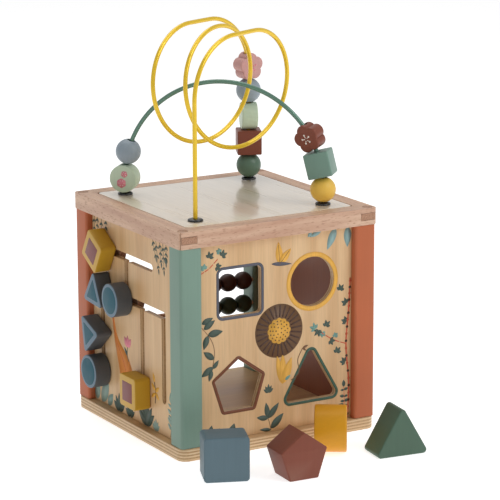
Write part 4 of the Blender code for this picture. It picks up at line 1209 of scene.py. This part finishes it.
class ACTIVITYCUBE_OT_beads(bpy.types.Operator):
    """The ten maze beads: balls, cubes, discs and flowers"""

    bl_idname = "activity_cube.beads"
    bl_label = "Maze beads"

    def execute(self, context):
        edge = sizes().bead_edge
        disc, petals = circle((0, 0), DISC_RADIUS, 96), flower(FLOWER_RADIUS, FLOWER_WAIST)
        shapes = {
            "ball": lambda: ball_mesh(BALL_RADIUS),
            "cube": lambda: cube_mesh(CUBE_SIDE, edge),
            "disc": lambda: flat_mesh(disc, DISC_THICKNESS, edge),
            "flower": lambda: flat_mesh(petals, FLOWER_THICKNESS, edge),
        }

        def on_leg(node, turn=0.0):
            height = box_middle(node).z
            return Matrix.Translation((WIRE_FOOT, WIRE_FOOT, height)) @ rotation(turn, "Z")

        def on_arch(angle):
            outwards = Matrix.Translation((WIRE_FOOT * math.sqrt(2), 0, 0))
            return arch_frame() @ rotation(-angle, "Y") @ outwards

        across, _ = loop_directions()
        bend = Vector((WIRE_FOOT, WIRE_FOOT, LOOP_START)) - Vector(across) * LOOP_HEIGHT
        tilt = Matrix.Rotation(-math.asin(LOOP_DROP / LOOP_HEIGHT), 4, "Y")
        on_bend = (Matrix.Translation(bend) @ Matrix.Rotation(LOOP_AZIMUTH, 4, "Z") @ tilt
                   @ Matrix.Translation((LOOP_HEIGHT - 0.6 * MM, 0, 0)) @ rotation(-13, "Z"))
        beads = {
            "loop_green_ball": ("ball", "forest", "green_paint", on_leg("loop_green_ball")),
            "loop_brown_cube": ("cube", "brown", "brown_paint", on_leg("loop_brown_cube", -25)),
            "loop_mint_disc": ("disc", "mint", "mint_paint", on_leg("loop_mint_disc", 68)),
            "loop_grey_ball": ("ball", "grey", "grey_paint", on_leg("loop_grey_ball")),
            "loop_pink_flower": ("flower", "pink", "pink_paint", on_bend),
            "arch_yellow_ball": ("ball", "yellow", "yellow_paint", on_arch(-0.84)),
            "arch_sage_cube": ("cube", "sage", "sage_paint", on_arch(13.72)),
            "arch_brown_flower": ("flower", "brown", "brown_paint", on_arch(29.56) @ rotation(-20, "Z")),
            "arch_mint_disc": ("disc", "mint", "mint_paint", on_arch(179.75)),
            "arch_grey_ball": ("ball", "grey", "grey_paint", on_arch(164.36)),
        }
        for node, (shape, paint, slot, place) in beads.items():
            coat = finish(f"{paint}_bead_paint")
            piece(f"{node}_bead", shapes[shape](), coat, f"{node}_body", slot, node, matrix=place)
        for node, ink, slot in (
            ("arch_brown_flower", "white", "brown_paint"), ("loop_pink_flower", "pink", "pink_paint"),
        ):
            for side in (1, -1):
                made = bead_print(node, beads[node][3], FLOWER_THICKNESS, side)
                for angle in np.arange(5) * TURN / 5 + math.pi / 2:
                    made.line(ink, np.linspace(1.2 * ray(angle), 3.0 * ray(angle), 3), 0.7)
                    made.shape(ink, circle(3.9 * ray(angle), 0.9, 16))
                made.finish(slot)
        for side in (1, -1):
            made = bead_print("arch_mint_disc", beads["arch_mint_disc"][3], DISC_THICKNESS, side)
            for x, z, radius, lobes in ((-1.5, -4.5, 3.0, 5), (1.2, 3.8, 4.4, 6)):
                middle = np.array((x, z))
                made.shape("pink", middle + flower(radius, radius * 0.85, lobes, 60))
                for angle in np.arange(lobes) * TURN / lobes:
                    made.shape("white", circle(middle + radius * 0.55 * ray(angle), 0.4, 10), 1)
            made.finish("mint_paint")
        return {"FINISHED"}


# ---------------------------------------------------------------- loose blocks

class ACTIVITYCUBE_OT_blocks(bpy.types.Operator):
    """The four loose blocks of the shape sorter"""

    bl_idname = "activity_cube.blocks"
    bl_label = "Sorter blocks"

    def execute(self, context):
        edge = sizes().block_edge
        square = rounded(box_corners((0, 0), 39.2 * MM, 39.2 * MM), 3.2 * MM)
        pentagon = rounded(polygon((0, 0), 25.2 * MM - 1.6 * MM / math.cos(math.pi / 5), 5), 1.4 * MM, 4)
        triangle = rounded(polygon((0, 0), 30 * MM, 3), 3.2 * MM)
        disc = circle((0, 0), 20.8 * MM, 96)
        blocks = {
            "square": (square, (-86.8, -151.7), -22, "slate", "slate_paint"),
            "pentagon": (pentagon, (-31.8, -178.5), -3.5, "brown", "brown_paint"),
            "round": (disc, (28.9, -136.5), 57, "ochre", "yellow_paint"),
            "triangle": (triangle, (76.4, -167.5), -7, "forest", "green_paint"),
        }
        for name, (outline, (x, y), turn, paint, slot) in blocks.items():
            lowest = outline[:, 1].min()
            place = (Matrix.Translation((x * MM, y * MM, -lowest))
                     @ rotation(turn, "Z")
                     @ rotation(90, "X"))
            mesh = grid_mesh(name, slab(outline, -BLOCK_THICKNESS / 2, BLOCK_THICKNESS / 2, edge, 5))
            node, coat = f"{name}_block", finish(f"{paint}_block_paint")
            piece(f"painted_{node}", mesh, coat, f"{node}_body", slot, node, matrix=place)
        return {"FINISHED"}


# ---------------------------------------------------------------- stage

class ACTIVITYCUBE_OT_stage(bpy.types.Operator):
    """A pale floor, soft studio light and the camera"""

    bl_idname = "activity_cube.stage"
    bl_label = "Stage"

    def execute(self, context):
        scene = context.scene
        floor_mesh = bpy.data.meshes.new("studio_floor")
        far = 12.0
        corners = [(-far, -far, 0), (far, -far, 0), (far, far, 0), (-far, far, 0)]
        floor_mesh.from_pydata(corners, [], [(0, 1, 2, 3)])
        floor = bpy.data.objects.new("studio_floor", floor_mesh)
        scene.collection.objects.link(floor)
        made, tree, shader = new_material("lit_acrylic_floor", 0.9, specular=0.2)
        place = add_node(tree, "TexCoord").outputs["Object"]
        tint = span(tree, noise(tree, place, 0.4), 0.3, 0.7, 0.985, 1.0)
        tone = shaded(tree, (0.78, 0.78, 0.785, 1), tint)
        tree.links.new(tone, shader.inputs["Base Color"])
        shader.inputs["Emission Color"].default_value = (1, 1, 1, 1)
        shader.inputs["Emission Strength"].default_value = 0.72
        floor_mesh.materials.append(made)
        world = bpy.data.worlds.new("studio")
        world.use_nodes = True
        sky = world.node_tree.nodes["Background"]
        sky.inputs["Color"].default_value = (1, 1, 1, 1)
        path = add_node(world.node_tree, "LightPath")
        mirrored = times(world.node_tree, path.outputs["Is Glossy Ray"], 0.55)
        seen = times(world.node_tree, path.outputs["Is Camera Ray"], mirrored, "MAXIMUM")
        world.node_tree.links.new(span(world.node_tree, seen, 0, 1, 0.27, 1.05), sky.inputs["Strength"])
        scene.world = world
        scene.view_settings.view_transform = "Standard"
        self.light(scene, "key", (0.9, -1.5, 1.5), 1.2, 17)
        self.light(scene, "fill", (-1.5, -0.6, 0.9), 1.4, 0.5)
        self.light(scene, "top", (0.0, 0.6, 1.8), 1.6, 13)
        data = bpy.data.cameras.new("studio_camera")
        data.lens = 176.8
        data.sensor_width = 36
        data.shift_x = 0.0396
        data.shift_y = 0.0022
        data.clip_end = 100
        camera = bpy.data.objects.new("studio_camera", data)
        azimuth = rotation(-30.01, "Z")
        elevation = rotation(90 - 13.4, "X")
        roll = rotation(-0.27, "Z")
        camera.matrix_world = Matrix.Translation((-1.0735, -1.8709, 0.6695)) @ azimuth @ elevation @ roll
        scene.collection.objects.link(camera)
        scene.camera = camera
        return {"FINISHED"}

    def light(self, scene, name, place, size, power):
        data = bpy.data.lights.new(name, "AREA")
        data.size = size
        data.energy = power
        lamp = bpy.data.objects.new(name, data)
        aim = Vector((0, 0, 0.12)) - Vector(place)
        lamp.matrix_world = Matrix.Translation(place) @ aim.to_track_quat("-Z", "Y").to_matrix().to_4x4()
        scene.collection.objects.link(lamp)


# ---------------------------------------------------------------- add-on

class ACTIVITYCUBE_PT_panel(bpy.types.Panel):
    """Lists the cube's pieces"""

    bl_idname = "ACTIVITYCUBE_PT_panel"
    bl_label = "Activity cube"
    bl_space_type = "VIEW_3D"
    bl_region_type = "UI"
    bl_category = "Activity cube"

    def draw(self, context):
        for made in OPERATORS:
            self.layout.operator(made.bl_idname)
        for group in (sizes(), colours()):
            for name in group.__annotations__:
                self.layout.prop(group, name)


OPERATORS = (
    ACTIVITYCUBE_OT_stage,
    ACTIVITYCUBE_OT_boards,
    ACTIVITYCUBE_OT_posts,
    ACTIVITYCUBE_OT_panels,
    ACTIVITYCUBE_OT_front_print,
    ACTIVITYCUBE_OT_side_prints,
    ACTIVITYCUBE_OT_knobs,
    ACTIVITYCUBE_OT_abacus,
    ACTIVITYCUBE_OT_wires,
    ACTIVITYCUBE_OT_beads,
    ACTIVITYCUBE_OT_blocks,
)
CLASSES = (CubeSizes, CubeColours, *OPERATORS, ACTIVITYCUBE_PT_panel)


def register():
    for made in CLASSES:
        bpy.utils.register_class(made)
    bpy.types.Scene.activity_cube_sizes = bpy.props.PointerProperty(type=CubeSizes)
    bpy.types.Scene.activity_cube_colours = bpy.props.PointerProperty(type=CubeColours)


def unregister():
    del bpy.types.Scene.activity_cube_colours
    del bpy.types.Scene.activity_cube_sizes
    for made in reversed(CLASSES):
        bpy.utils.unregister_class(made)


def main():
    register()
    bpy.ops.activity_cube.stage()
    bpy.ops.activity_cube.boards()
    bpy.ops.activity_cube.posts()
    bpy.ops.activity_cube.panels()
    bpy.ops.activity_cube.front_print()
    bpy.ops.activity_cube.side_prints()
    bpy.ops.activity_cube.knobs()
    bpy.ops.activity_cube.abacus()
    bpy.ops.activity_cube.wires()
    bpy.ops.activity_cube.beads()
    bpy.ops.activity_cube.blocks()


if __name__ == "__main__":
    main()
